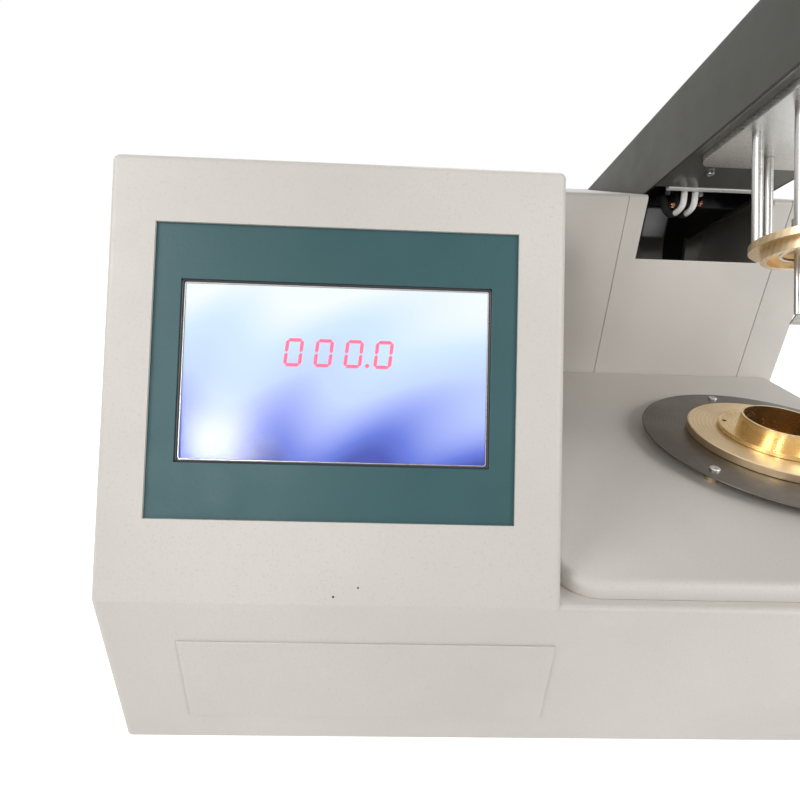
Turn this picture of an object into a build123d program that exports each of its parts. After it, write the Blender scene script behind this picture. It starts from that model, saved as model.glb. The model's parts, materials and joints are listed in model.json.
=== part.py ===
from build123d import *

import math
import os

# Automatic closed-cup flash point tester.
#
# A sheet-metal cabinet holds a slanted screen console on the left and a working deck on the right.
# The stove in the deck heats the test cup. A tilting arm, hinged low inside the tower behind the deck,
# carries the lid with its stirrer, shutter, igniter and probes, and lowers it onto the cup.
#
# Working frame while modelling, in millimetres: X from the cabinet's left side, Y from its front face,
# Z up from the bench. The arm and all it carries are modelled lowered, with the lid on the cup, and are
# then tilted up into their resting pose. The last step moves the whole model to its footprint's centre.

# ---------------------------------------------------------------------------------------- sizes
# Fits and clearances
RUN = 0.05          # radial clearance of a shaft that turns in its bore
GAP = 0.3           # space left between faces of pieces that move apart
SEAM = 0.6          # visible joint line between two sheet covers
SLIP = 0.2          # play of a panel in the opening that it closes

# Cabinet
CABINET_W = 545.0
CABINET_D = 498.0
SHEET = 1.5
BEND_R = 4.0        # outer radius of the folded corners
FOOT_H = 12.0
FOOT_R = 16.0
FOOT_INSET = 42.0
FOOT_TAPER = 3.0
FOOT_FLOOR = 4.0
FOOT_RECESS_R = 6.0
FOOT_SCREW_R = 2.0
FOOT_HEAD_R = 5.0
FOOT_HEAD_H = 2.4
DECK_Z = 110.0
LEAN = math.radians(26.3)
WALL_Y = 307.5
WALL_RISE = 182.0
HATCH_LEFT = 38.0
HATCH_W = 190.0
HATCH_LOW = 30.0
HATCH_H = 55.0
HATCH_T = 1.0
TRAY_LIP = 10.0

# Screen, in the slanted panel's own plane: u to the right, v up the slope
SCREEN_W = 154.0
SCREEN_H = 90.0
BEZEL_LEFT = 13.1   # the bezel's rim round the screen's opening
BEZEL_RIGHT = 12.9
BEZEL_BELOW = 27.3
BEZEL_ABOVE = 27.7
BEZEL_LAP = 5.0     # how far the bezel plate reaches behind the panel
BEZEL_T = 2.0
MARGIN_LEFT = 23.3  # the panel round the bezel
MARGIN_RIGHT = 24.2
MARGIN_BELOW = 39.5
MARGIN_ABOVE = 32.5
FRAME_LIP = 1.6     # width of the module's dark frame seen inside the bezel
FRAME_LAP = 6.0
FRAME_FRONT_T = 1.2
MODULE_T = 8.0
GLASS_T = 1.1

# Electronics behind the screen and on the base tray
BOARD_EDGE = 1.5        # board's overhang past the screen
BOARD_T = 1.6
BOARD_POST_H = 8.0
BOARD_POST_R = 3.0
BOARD_POST_INSET = 6.0
CONNECTOR_W = 34.0
CONNECTOR_D = 10.0
CONNECTOR_H = 9.0
CONNECTOR_PITCH = 55.0
RELAY_W = 28.0
RELAY_D = 32.0
RELAY_H = 14.0
SUPPLY_LEFT = 40.0
SUPPLY_FROM_BACK = 98.0
SUPPLY_W = 110.0
SUPPLY_D = 100.0
SUPPLY_H = 38.0
TERMINAL_D = 12.0
TERMINAL_H = 16.0
TERMINAL_INSET = 10.0

# Deck pad and stove
PAD_MARGIN = 6.5
PAD_SIDE_GAP = 1.5
PAD_H = 10.0
PAD_WALL = 2.0
PAD_CORNER_R = 20.0
PAD_EDGE_R = 5.0
STOVE_FROM_RIGHT = 115.0
STOVE_Y = 145.0
SPACER_H = 6.5
SPACER_R = 4.0
SPACER_CIRCLE_R = 81.0
SPACER_ANGLES = (90.0, 210.0, 330.0)
STOVE_PLATE_R = 91.5
STOVE_PLATE_T = 1.5
STOVE_SCREW_R = 3.4
STOVE_SCREW_H = 1.6
STOVE_SOCKET_R = 1.4
SEAT_R = 60.0
SEAT_T = 6.0
BATH_R = 45.0
BATH_BORE_R = 31.5
BATH_FLOOR_T = 12.0
BATH_AIR_GAP = 4.5  # air under the cup's floor
BATH_CLEAR = 2.0    # space round the bath where it passes the deck and the pad
HEATER_T = 4.5
HEATER_H = 26.0
HEATER_RISE = 4.0
HEATER_SPLIT = 4.0
JACKET_AIR = 1.0
JACKET_T = 12.0
STAND_R = 66.0
STAND_T = 3.0
COLUMN_R = 4.0
COLUMN_CIRCLE_R = 57.0
COLUMN_COUNT = 4
EDGE_BREAK = 0.5    # chamfer on turned edges

# Test cup: the standard cup of the closed-cup method
CUP_BORE_R = 25.4
CUP_DEPTH = 55.8
CUP_WALL = 1.4
CUP_FLOOR_T = 2.4
CUP_FLANGE_R = 39.7
CUP_FLANGE_T = 3.0
CUP_BELOW_FLANGE = 45.6
CUP_SIDE_PLAY = 0.8
CUP_MARK_DEPTH = 21.8   # filling mark below the rim
CUP_MARK_CUT = 0.4
CUP_PIN_HOLE_R = 1.6
CUP_PIN_INSET = 4.0
CUP_PIN_ANGLES = (30.0, 150.0)

# Tower, hinge and lift drive
TOWER_W = 152.0
LIP_DEPTH = 12.0
SILL_RISE = 125.7   # bottom of the notch above the deck
NOTCH_W = 116.5
SLOT_BACK = 5.0     # strip of the tower's top left behind the slot
HINGE_FROM_BACK = 77.0
HINGE_RISE = 40.0   # hinge above the deck
HINGE_R = 8.0
TILT = 25.5         # degrees from raised to lowered
BRACKET_T = 4.0
BRACKET_X = 64.0    # inner face of each hinge bracket from the arm's middle
BRACKET_D = 70.0
BRACKET_TOP = 26.0
BRACKET_FOOT = 18.0
BRACKET_CORNER_R = 22.0
BUSH_R = 12.0
BUSH_FLANGE_R = 16.0
BUSH_FLANGE_T = 2.0
GEARBOX_W = 42.0
GEARBOX_D = 60.0
GEARBOX_H = 74.0
GEARBOX_CORNER_R = 5.0
DRIVE_MOTOR_R = 19.0
DRIVE_MOTOR_H = 62.0
SHAFT_END_LEFT = 4.0    # shaft past the gearbox
SHAFT_END_RIGHT = 6.0   # shaft past the right bracket
COLLAR_T = 5.0

# Arm, as lowered
ARM_W = 112.0
ARM_OVERHANG = 83.0     # nose in front of the cup's axis
ARM_PAST_HINGE = 3.0
ARM_UNDER = 126.8   # underside above the deck
ARM_H = 65.5
ARM_SHEET = 2.0
ARM_NOSE_R = 26.0
ARM_EDGE_R = 3.0
THROAT = 51.5           # open underside in front of the wall
UNDERPLATE_T = 1.5
FRAME_T = 3.0
FRAME_GAP = 1.0
LEG_W = 36.0
LEG_BOSS_R = 17.0
BEAM_H = 30.0
BEAM_HOLE_R = 7.5
BEAM_HOLE_START = 80.0
BEAM_HOLE_PITCH = 40.0
BEAM_HOLES = 3
CROSSPLATE_AHEAD = 7.5  # crossplate in front of the wall
HOSE_BAR_W = 82.0
HOSE_BAR_H = 4.0
HOSE_BAR_D = 6.0
HOSE_BAR_DROP = 1.0
HOSE_R = 2.8
HOSE_PITCH = 11.0
HOSE_OFFSET = 26.5      # first hose to the left of the arm's middle
HOSE_COUNT = 2
HOSE_DIP = 14.0         # lowest stretch below the arm
HOSE_TOP = 38.0
HOSE_BEND_R = 9.0
HOSE_END_RISE = 8.0
HOSE_END_REACH = 12.0
VALVE_BLOCK_W = 30.0
VALVE_BLOCK_D = 34.0
VALVE_BLOCK_H = 30.0
VALVE_BLOCK_AHEAD = 21.0    # block's front in front of the hinge
VALVE_BLOCK_RISE = 137.5
VALVE_BLOCK_CORNER_R = 4.0
SHELF_T = 2.0
SHELF_FLANGE = 20.0
SHELF_INSET = 4.0

# Lid and what it carries, as lowered
LID_R = 39.5
LID_T = 5.0
SKIRT_T = 4.0
SKIRT_DEPTH = 7.0
SKIRT_PLAY = 1.5
WINDOW_COUNT = 3
WINDOW_PITCH = 60.0     # degrees between the lid's openings
WINDOW_SPAN = 26.0      # degrees that each opening covers
WINDOW_R = (16.0, 24.0)
SHUTTER_TURN = 30.0
SHUTTER_R = 31.0
SHUTTER_T = 2.4
HUB_R = 7.0
HUB_H = 10.0
RETAINER_R = 10.5
RETAINER_T = 2.5
GEAR_MODULE = 1.0
SHUTTER_TEETH = 72
PINION_TEETH = 18
PINION_H = 5.0
BACKLASH = 0.16         # tooth thinning on each gear
SECTOR_SPAN = (52.0, 100.0)
SPINDLE_R = 3.0
STIR_SHAFT_R = 3.0
STIR_LOW_R = 17.0
STIR_HIGH_R = 9.5
STIR_LOW_DEPTH = 50.0
STIR_HIGH_DEPTH = 27.0
BLADE_W = 8.0
BLADE_T = 1.2
PROBE_R = 2.0
PROBE_DEPTH = 43.0
PROBE_OFFSET = 17.0
RING_R = 20.5
RING_WIRE_R = 0.9
RING_PIN_R = 0.6
RING_DROP = 3.5
POST_R = 3.5
POST_CIRCLE_R = 35.5
POST_ANGLES = (20.0, 160.0, 215.0, 325.0)
CARRIER_T = 6.0
CARRIER_W = 92.0
CARRIER_FRONT = 44.0
CARRIER_BACK = 62.0
MOTOR_R = 18.0
MOTOR_H = 46.0
SERVO_R = 12.5
SERVO_H = 36.0
MOTOR_EDGE = 1.5
SHAFT_POCKET = 6.0      # how deep a driven shaft ends in its motor
COUPLING_H = 18.0
COUPLING_DROP = 4.0
PROPELLER_HUB_H = 8.0
PROPELLER_HUB_T = 1.5
BLADE_PITCH = 45.0
CARRIER_CORNER_R = 10.0
FERRULE_T = 1.2
FERRULE_H = 4.0
PROBE_GRIP_T = 1.6
PROBE_GRIP_H = 14.0
PROBE_TAIL = 4.0
SLOT_PLAY = 1.0         # room round the probe's ferrule in the shutter
PIVOT_OFFSET = 34.0     # igniter pivot in front of the cup's axis
PIVOT_RISE = 11.0
NOZZLE_R = 1.6
NOZZLE_L = 16.0
NOZZLE_TAIL = 9.0
NOZZLE_TAIL_T = 0.4
PIVOT_PIN_R = 1.2
PIVOT_HUB_R = 2.8
PIVOT_HUB_W = 9.2
FORK_W = 14.0
FORK_EAR_T = 2.0
FORK_FRONT = 3.0
FORK_BACK = 2.4
FORK_TOP = 3.0

# Back panel fittings
FAN_SIZE = 80.0
FAN_T = 25.0
FAN_X = 110.0
FAN_Z = 200.0
FAN_CORNER_R = 4.0
FAN_BORE_R = 37.0
FAN_HUB_R = 16.0
FAN_SEAT_T = 4.0
FAN_PIN_R = 2.0
FAN_PIN_L = 10.0
FAN_HOLE_INSET = 4.5
FAN_HOLE_R = 2.0
FAN_TIP_PLAY = 1.5
FAN_FRONT_PLAY = 3.0
FAN_BLADES = 7
FAN_BLADE_T = 1.4
FAN_BLADE_W = 17.0
FAN_BLADE_PITCH = 35.0
GUARD_RINGS = 4
GUARD_FIRST_R = 14.0
GUARD_STEP = 8.0
GUARD_WIRE = 1.8
GUARD_RISE = 2.0
GUARD_PAD_R = 3.4
FITTING_Z = 62.0
INLET_X = 60.0
INLET_W = 28.0
INLET_H = 20.0
INLET_RIM = 4.0
INLET_DEPTH = 18.0
INLET_OUT = 3.0
INLET_WALL = 2.0
INLET_RECESS = 13.0
BLADE_SIZE = (2.0, 4.0)
BLADE_SPREAD = 7.0
BLADE_STAGGER = (-1.5, 2.5)
SWITCH_X = 112.0
SWITCH_W = 20.0
SWITCH_H = 26.0
SWITCH_RIM = 2.0
SWITCH_DEPTH = 16.0
SWITCH_WALL = 2.0
SWITCH_RECESS = 10.0
ROCKER_SWING = 8.0      # degrees to each side of level
ROCKER_CROWN = 3.0
ROCKER_REACH = 9.6
ROCKER_ROOT = 7.0
ROCKER_BACK = 5.0
ROCKER_PIN_R = 1.2
ROCKER_PIN_DEPTH = 2.0
FUSE_X = 150.0
FUSE_R = 6.0
FUSE_WALL = 1.5
FUSE_DEPTH = 30.0
FUSE_RIM = 2.5
FUSE_RIM_T = 2.0
FUSE_POCKET = 8.0
FUSE_CAP_T = 6.0
FUSE_CAP_RIM = 1.0
FUSE_SLOT_W = 1.6
FUSE_SLOT_L = 8.0
FUSE_SLOT_DEPTH = 2.0
GAS_Z = 70.0
GAS_OFFSET = 40.0       # gas stub to the right of the needle valve
GAS_R = 4.0
GAS_BORE_R = 2.2
GAS_STUB = 16.0
GAS_INSIDE = 14.0
NUT_R = 8.0
NUT_T = 3.0
VALVE_R = 6.0
VALVE_BODY = 22.0
VALVE_BODY_D = 26.0
VALVE_COLLAR = 1.0
STEM_R = 2.5
STEM_L = 8.0
KNOB_R = 11.0
KNOB_H = 12.0
KNOB_FLUTES = 12
KNOB_FLUTE_R = 2.0
VENT_FROM_CONSOLE = 42.5
VENT_LOW = 60.0
VENT_W = 80.0
VENT_H = 4.0
VENT_PITCH = 9.0
VENT_COUNT = 8
COVER_SCREW_R = 3.0
COVER_SCREW_H = 2.0
COVER_SCREW_INSET = 10.0
COVER_SCREW_LOW = 30.0

# ------------------------------------------------------------------------- places worked out
BEZEL_U = MARGIN_LEFT
BEZEL_V = MARGIN_BELOW
BEZEL_W = BEZEL_LEFT + SCREEN_W + BEZEL_RIGHT
BEZEL_H = BEZEL_BELOW + SCREEN_H + BEZEL_ABOVE
SCREEN_U = BEZEL_U + BEZEL_LEFT
SCREEN_V = BEZEL_V + BEZEL_BELOW
CONSOLE_W = MARGIN_LEFT + BEZEL_W + MARGIN_RIGHT
SLOPE = MARGIN_BELOW + BEZEL_H + MARGIN_ABOVE
CONSOLE_RISE = SLOPE * math.cos(LEAN)
STOVE_X = CABINET_W - STOVE_FROM_RIGHT
HINGE_Y = CABINET_D - HINGE_FROM_BACK
HINGE_Z = DECK_Z + HINGE_RISE
FLOOR_Z = FOOT_H
CONSOLE_TOP = DECK_Z + CONSOLE_RISE
WALL_TOP = DECK_Z + WALL_RISE
PAD_TOP = DECK_Z + PAD_H
STOVE_PLATE_Z = PAD_TOP + SPACER_H
SEAT_Z = STOVE_PLATE_Z + STOVE_PLATE_T
FLANGE_Z = SEAT_Z + SEAT_T + GAP
CUP_BOTTOM = FLANGE_Z - CUP_BELOW_FLANGE
RIM_Z = CUP_BOTTOM + CUP_FLOOR_T + CUP_DEPTH
CUP_R = CUP_BORE_R + CUP_WALL
BATH_FLOOR = CUP_BOTTOM - BATH_AIR_GAP
BATH_BOTTOM = BATH_FLOOR - BATH_FLOOR_T
LID_Z = RIM_Z + GAP
LID_TOP = LID_Z + LID_T
SHUTTER_Z = LID_TOP + GAP
SHUTTER_TOP = SHUTTER_Z + SHUTTER_T
UNDER_Z = DECK_Z + ARM_UNDER
ARM_TOP = UNDER_Z + ARM_H
CARRIER_Z = UNDER_Z - CARRIER_T
SHUTTER_GEAR_R = GEAR_MODULE * SHUTTER_TEETH / 2
PINION_R = GEAR_MODULE * PINION_TEETH / 2
SPINDLE_Y = STOVE_Y + SHUTTER_GEAR_R + PINION_R
ARM_FRONT = STOVE_Y - ARM_OVERHANG
ARM_BACK = HINGE_Y + ARM_PAST_HINGE
LEG_FRONT = HINGE_Y - LEG_W
UNDERPLATE_END = WALL_Y - THROAT
CROSSPLATE_Y = WALL_Y - CROSSPLATE_AHEAD
HOSE_X = STOVE_X - HOSE_OFFSET
VALVE_BLOCK_Y = HINGE_Y - VALVE_BLOCK_AHEAD
VALVE_X = STOVE_X
GAS_X = VALVE_X + GAS_OFFSET
ARM_LEFT = STOVE_X - ARM_W / 2
ARM_RIGHT = STOVE_X + ARM_W / 2
TOWER_LEFT = STOVE_X - TOWER_W / 2
TOWER_RIGHT = STOVE_X + TOWER_W / 2
BACK_FACE = CABINET_D - SHEET
INNER_FLOOR = FLOOR_Z + SHEET
LEG_OUT = ARM_W / 2 - ARM_SHEET - FRAME_GAP

PANEL = Plane(origin=(0, 0, DECK_Z), x_dir=(1, 0, 0), z_dir=(0, -math.cos(LEAN), math.sin(LEAN)))
HOME = Pos(-CABINET_W / 2, -(CABINET_D + GAS_STUB - HATCH_T) / 2, 0)
RAISE = Pos(0, HINGE_Y, HINGE_Z) * Rot(-TILT, 0, 0) * Pos(0, -HINGE_Y, -HINGE_Z)


# --------------------------------------------------------------------------------- small helpers
def block(x, y, z):
    """Box between low and high values of each axis."""
    spans = (x, y, z)
    middle = [(low + high) / 2 for low, high in spans]
    return Pos(*middle) * Box(*[high - low for low, high in spans])


def drum(x, y, z, r):
    """Upright cylinder at x, y between the heights z."""
    return Pos(x, y, z[0]) * extrude(Circle(r), z[1] - z[0])


def tube(x, y, z, r, bore):
    """Upright cylinder with a through bore."""
    return drum(x, y, z, r) - drum(x, y, (z[0] - 1, z[1] + 1), bore)


def rod_x(x, y, z, r):
    """Cylinder along X between the two x values."""
    return Pos(x[0], y, z) * extrude(Plane.YZ * Circle(r), x[1] - x[0])


def rod_y(x, y, z, r):
    """Cylinder along Y between the two y values."""
    return Pos(x, y[1], z) * extrude(Plane.XZ * Circle(r), y[1] - y[0])


def across(x, face):
    """Extrude a sketch drawn in (Y, Z) from one x value to the other."""
    return Pos(x[0], 0, 0) * extrude(Plane.YZ * face, x[1] - x[0])


def on_panel(u, v, w):
    """Box in the slanted panel's frame: u right, v up the slope, w outwards from its face."""
    return PANEL * block(u, v, w)


def polar(r, degrees, x=STOVE_X, y=STOVE_Y):
    """Point on a circle round the stove's axis."""
    return x + r * math.cos(math.radians(degrees)), y + r * math.sin(math.radians(degrees))


def outline(points):
    """Closed flat face through the points."""
    return make_face(Polyline(*points, close=True))


def rounded(solid, radius, pick):
    """Fillet the edges whose centre point satisfies pick."""
    return fillet([e for e in solid.edges() if pick(e.center())], radius)


def group(*solids):
    """One node made of several separate solids."""
    return Compound(children=[s for part in solids for s in part.solids()])


def mirrored_x(solid, middle=STOVE_X):
    """The same solid on the other side of the arm's middle plane."""
    return mirror(solid, Plane(origin=(middle, 0, 0), z_dir=(1, 0, 0)))


# --------------------------------------------------------------------------------------- cabinet
def console_prism(wall, spare):
    """Console block with its slanted front, drawn a wall's thickness inside the outer faces."""
    bend = DECK_Z - wall * math.tan(LEAN / 2)
    top = CONSOLE_TOP - wall
    ridge = wall + (top - bend) * math.tan(LEAN)
    back = CABINET_D + spare
    low = FLOOR_Z - spare
    x = (wall, CONSOLE_W - wall)
    face = outline([(wall, low), (wall, bend), (ridge, top), (back, top), (back, low)])
    return rounded(across(x, face), BEND_R - wall, lambda c: c.Y < back - 1 and c.Z > low + 1)


def base_prism(wall, spare):
    """Flat box below the working deck."""
    front = wall
    back = CABINET_D + spare
    low = FLOOR_Z - spare
    left = CONSOLE_W - 2 * BEND_R if wall == 0 else wall
    x = (left, CABINET_W - wall)
    solid = block(x, (front, back), (low, DECK_Z - wall))
    keep = lambda c: c.Y < back - 1 and c.Z > low + 1 and c.X > left + 1
    return rounded(solid, BEND_R - wall, keep)


def wall_prism(wall, spare):
    """Tower block behind the deck, open downwards into the base."""
    back = CABINET_D + spare
    left = CONSOLE_W - 2 * BEND_R if wall == 0 else CONSOLE_W - 2 * SHEET
    x = (left, CABINET_W - wall)
    low = DECK_Z - 2 * BEND_R
    solid = block(x, (WALL_Y + wall, back), (low, WALL_TOP - wall))
    keep = lambda c: c.Y < back - 1 and c.Z > low + 1 and c.X > left + 1
    return rounded(solid, BEND_R - wall, keep)


def tower_opening():
    """Space in the wall and its top that the tower cover fills."""
    x = (TOWER_LEFT, TOWER_RIGHT)
    return block(x, (WALL_Y - 1, CABINET_D + 1), (DECK_Z + SLIP, WALL_TOP + 1))


def tower_lips():
    """Inward lips of the wall along both edges of the tower opening."""
    z = (DECK_Z, WALL_TOP - SHEET)
    y = (WALL_Y + SHEET, WALL_Y + LIP_DEPTH)
    lip = block((TOWER_LEFT - SHEET, TOWER_LEFT), y, z)
    return lip + mirrored_x(lip)


def cabinet_shell():
    """Welded sheet shell: console, base, deck and the wall on both sides of the tower."""
    outer = console_prism(0, 0) + base_prism(0, 0) + wall_prism(0, 0)
    inner = console_prism(SHEET, 5) + base_prism(SHEET, 5) + wall_prism(SHEET, 5)
    shell = outer - inner - tower_opening()
    shell += tower_lips()
    shell -= on_panel((BEZEL_U, BEZEL_U + BEZEL_W), (BEZEL_V, BEZEL_V + BEZEL_H), (-3 * SHEET, 3 * SHEET))
    shell -= drum(STOVE_X, STOVE_Y, (DECK_Z - 2 * SHEET, DECK_Z + 1), BATH_R + BATH_CLEAR)
    return shell


def front_hatch():
    """Thin service plate on the front face, under the console."""
    x = (HATCH_LEFT, HATCH_LEFT + HATCH_W)
    return block(x, (-HATCH_T, 0), (HATCH_LOW, HATCH_LOW + HATCH_H))


def bottom_plate():
    """Tray that closes the cabinet from below, with upturned edges."""
    edge = SHEET + SLIP
    x = (edge, CABINET_W - edge)
    y = (edge, BACK_FACE - SLIP)
    tray = block(x, y, (FLOOR_Z, FLOOR_Z + TRAY_LIP))
    tray = fillet(tray.edges().filter_by(Axis.Z), BEND_R - SHEET)
    hollow_x = (x[0] + SHEET, x[1] - SHEET)
    hollow_y = (y[0] + SHEET, y[1] - SHEET)
    return tray - block(hollow_x, hollow_y, (INNER_FLOOR, FLOOR_Z + TRAY_LIP + 1))


def back_outline(play):
    """Outline of the open back in (X, Z), with the console's step."""
    left = SHEET + play
    right = CABINET_W - SHEET - play
    step = CONSOLE_W - SHEET - play
    low = INNER_FLOOR
    console = CONSOLE_TOP - SHEET - play
    tower = WALL_TOP - SHEET - play
    return [(left, low), (right, low), (right, tower), (step, tower), (step, console), (left, console)]


def plate_cut(x, w, h, y):
    """Block through the back panel that a snap-in fitting fills."""
    return block((x - w / 2, x + w / 2), y, (FITTING_Z - h / 2, FITTING_Z + h / 2))


def rear_panel():
    """Back panel with the openings for its fittings and a field of vent slots."""
    face = outline([Vector(x, 0, z) for x, z in back_outline(SLIP)])
    panel = Pos(0, BACK_FACE, 0) * extrude(face, SHEET, dir=(0, 1, 0))
    on_sheet = lambda c: abs(c.Y - BACK_FACE - SHEET / 2) < 0.1
    inner_step = lambda c: abs(c.X - CONSOLE_W) < 2 * BEND_R and c.Z < WALL_TOP
    panel = rounded(panel, BEND_R - SHEET, lambda c: on_sheet(c) and not inner_step(c))
    y = (BACK_FACE - 1, CABINET_D + 1)
    panel -= plate_cut(INLET_X, INLET_W, INLET_H, y)
    panel -= plate_cut(SWITCH_X, SWITCH_W, SWITCH_H, y)
    panel -= rod_y(FUSE_X, y, FITTING_Z, FUSE_R)
    panel -= rod_y(FAN_X, y, FAN_Z, FAN_BORE_R)
    panel -= rod_y(GAS_X, y, GAS_Z, GAS_R)
    panel -= rod_y(VALVE_X, y, GAS_Z, VALVE_R)
    left = CONSOLE_W + VENT_FROM_CONSOLE
    for row in range(VENT_COUNT):
        z = VENT_LOW + VENT_PITCH * row
        panel -= block((left, left + VENT_W), y, (z, z + VENT_H))
    return panel


def feet_places():
    """Middle points of the four feet."""
    xs = (FOOT_INSET, CABINET_W - FOOT_INSET)
    ys = (FOOT_INSET, CABINET_D - FOOT_INSET)
    return [(x, y) for x in xs for y in ys]


def rubber_feet():
    """Four tapered rubber feet, each with a recess for its screw."""
    base = (Align.CENTER, Align.CENTER, Align.MIN)
    foot = Cone(FOOT_R - FOOT_TAPER, FOOT_R, FOOT_H, align=base)
    foot -= Cylinder(FOOT_RECESS_R, FOOT_H - FOOT_FLOOR, align=base)
    foot -= Cylinder(FOOT_SCREW_R + SLIP, FOOT_H, align=base)
    return group(*[Pos(x, y, 0) * foot for x, y in feet_places()])


def foot_screws():
    """Pan head screws in the feet."""
    head = Cylinder(FOOT_HEAD_R, FOOT_HEAD_H, align=(Align.CENTER, Align.CENTER, Align.MAX))
    shank = Cylinder(FOOT_SCREW_R, FOOT_FLOOR, align=(Align.CENTER, Align.CENTER, Align.MIN))
    screw = Pos(0, 0, FOOT_H - FOOT_FLOOR) * (head + shank)
    return group(*[Pos(x, y, 0) * screw for x, y in feet_places()])


# ---------------------------------------------------------------------------------------- screen
def screen_bezel():
    """Painted plate behind the slanted panel, round the screen."""
    u = (BEZEL_U - BEZEL_LAP, BEZEL_U + BEZEL_W + BEZEL_LAP)
    v = (BEZEL_V - BEZEL_LAP, BEZEL_V + BEZEL_H + BEZEL_LAP)
    plate = on_panel(u, v, (-SHEET - BEZEL_T, -SHEET))
    hole = on_panel((SCREEN_U, SCREEN_U + SCREEN_W), (SCREEN_V, SCREEN_V + SCREEN_H), (-20, 0))
    return plate - hole


def module_front():
    """Depth of the display module's face below the panel's outer face."""
    return -SHEET - BEZEL_T


def lcd_frame():
    """Dark metal frame of the display module."""
    front = module_front()
    lap = FRAME_LAP
    u = (SCREEN_U - lap, SCREEN_U + SCREEN_W + lap)
    v = (SCREEN_V - lap, SCREEN_V + SCREEN_H + lap)
    lip = FRAME_LIP
    frame = on_panel(u, v, (front - MODULE_T, front))
    window_u = (SCREEN_U + lip, SCREEN_U + SCREEN_W - lip)
    window_v = (SCREEN_V + lip, SCREEN_V + SCREEN_H - lip)
    frame -= on_panel(window_u, window_v, (front - MODULE_T - 1, front + 1))
    pocket_u = (SCREEN_U - lap / 2, SCREEN_U + SCREEN_W + lap / 2)
    pocket_v = (SCREEN_V - lap / 2, SCREEN_V + SCREEN_H + lap / 2)
    frame -= on_panel(pocket_u, pocket_v, (front - MODULE_T - 1, front - FRAME_FRONT_T))
    return frame


def pocket_plate(depth, thickness):
    """Plate that fits the display module's pocket, its face a depth below the module's face."""
    side = FRAME_LAP / 2 - SLIP
    u = (SCREEN_U - side, SCREEN_U + SCREEN_W + side)
    v = (SCREEN_V - side, SCREEN_V + SCREEN_H + side)
    front = module_front() - depth
    return on_panel(u, v, (front - thickness, front))


def touch_glass():
    """Resistive touch glass in front of the display."""
    return pocket_plate(FRAME_FRONT_T, GLASS_T)


def lcd_panel():
    """Display panel behind the glass."""
    depth = FRAME_FRONT_T + GLASS_T
    return pocket_plate(depth, MODULE_T - depth)


def control_board():
    """Controller board on spacers behind the screen, with two connectors and a relay."""
    u = (SCREEN_U - BOARD_EDGE, SCREEN_U + SCREEN_W + BOARD_EDGE)
    v = (SCREEN_V - BOARD_EDGE, SCREEN_V + SCREEN_H + BOARD_EDGE)
    front = module_front() - MODULE_T - BOARD_POST_H
    back = front - BOARD_T
    board = on_panel(u, v, (back, front))
    for index in range(2):
        left = u[0] + CONNECTOR_D + CONNECTOR_PITCH * index
        low = v[0] + CONNECTOR_D
        board += on_panel((left, left + CONNECTOR_W), (low, low + CONNECTOR_D), (back - CONNECTOR_H, back))
    right = u[1] - CONNECTOR_D
    middle = (v[0] + v[1]) / 2
    board += on_panel((right - RELAY_W, right), (middle, middle + RELAY_D), (back - RELAY_H, back))
    for x in (u[0] + BOARD_POST_INSET, u[1] - BOARD_POST_INSET):
        for y in (v[0] + BOARD_POST_INSET, v[1] - BOARD_POST_INSET):
            board += PANEL * Pos(x, y, front) * extrude(Circle(BOARD_POST_R), BOARD_POST_H)
    return board


def power_supply():
    """Switched supply on the base tray, with its terminal strip."""
    x = (SUPPLY_LEFT, SUPPLY_LEFT + SUPPLY_W)
    back = CABINET_D - SUPPLY_FROM_BACK
    case = block(x, (back - SUPPLY_D, back), (INNER_FLOOR, INNER_FLOOR + SUPPLY_H))
    strip_x = (x[0] + TERMINAL_INSET, x[1] - TERMINAL_INSET)
    return case + block(strip_x, (back, back + TERMINAL_D), (INNER_FLOOR, INNER_FLOOR + TERMINAL_H))


# ----------------------------------------------------------------------------------------- stove
def deck_pad():
    """Raised pressed pad that covers the deck, rounded in front and square against the wall."""
    x = (CONSOLE_W + PAD_SIDE_GAP, CABINET_W - PAD_MARGIN)
    y = (PAD_MARGIN, WALL_Y - SEAM)

    def body(wall):
        solid = block((x[0] + wall, x[1] - wall), (y[0] + wall, y[1] - wall), (DECK_Z - wall, PAD_TOP - wall))
        front = y[0] + wall
        middle = (x[0] + x[1]) / 2
        corner = lambda c: abs(c.Y - front) < 0.1 and abs(c.X - middle) > 10 and abs(c.Z - PAD_TOP + wall) > 1
        solid = rounded(solid, PAD_CORNER_R - wall, corner)
        on_top = lambda c: c.Z > PAD_TOP - wall - 0.1 and c.Y < y[1] - wall - 0.1
        return fillet([e for e in solid.edges() if on_top(e.center())], PAD_EDGE_R - wall)

    pad = body(0) - body(PAD_WALL)
    return pad - drum(STOVE_X, STOVE_Y, (DECK_Z - 1, PAD_TOP + 1), BATH_R + BATH_CLEAR)


def stove_spacers():
    """Brass spacers between the pad and the stove plate."""
    z = (PAD_TOP, STOVE_PLATE_Z)
    return group(*[drum(*polar(SPACER_CIRCLE_R, a), z, SPACER_R) for a in SPACER_ANGLES])


def stove_plate():
    """Round steel plate on the spacers, with a hole for the bath's neck."""
    z = (STOVE_PLATE_Z, STOVE_PLATE_Z + STOVE_PLATE_T)
    return tube(STOVE_X, STOVE_Y, z, STOVE_PLATE_R, BATH_R + SLIP)


def stove_screws():
    """Button head screws over the spacers, each with a hexagon socket."""
    z = (SEAT_Z, SEAT_Z + STOVE_SCREW_H)
    socket = extrude(RegularPolygon(STOVE_SOCKET_R, 6), STOVE_SCREW_H)
    socket = Pos(0, 0, SEAT_Z + STOVE_SCREW_H / 2) * socket
    screws = []
    for angle in SPACER_ANGLES:
        x, y = polar(SPACER_CIRCLE_R, angle)
        head = drum(x, y, z, STOVE_SCREW_R)
        head = chamfer(head.edges().group_by(Axis.Z)[-1], EDGE_BREAK)
        screws.append(head - Pos(x, y, 0) * socket)
    return group(*screws)


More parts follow.
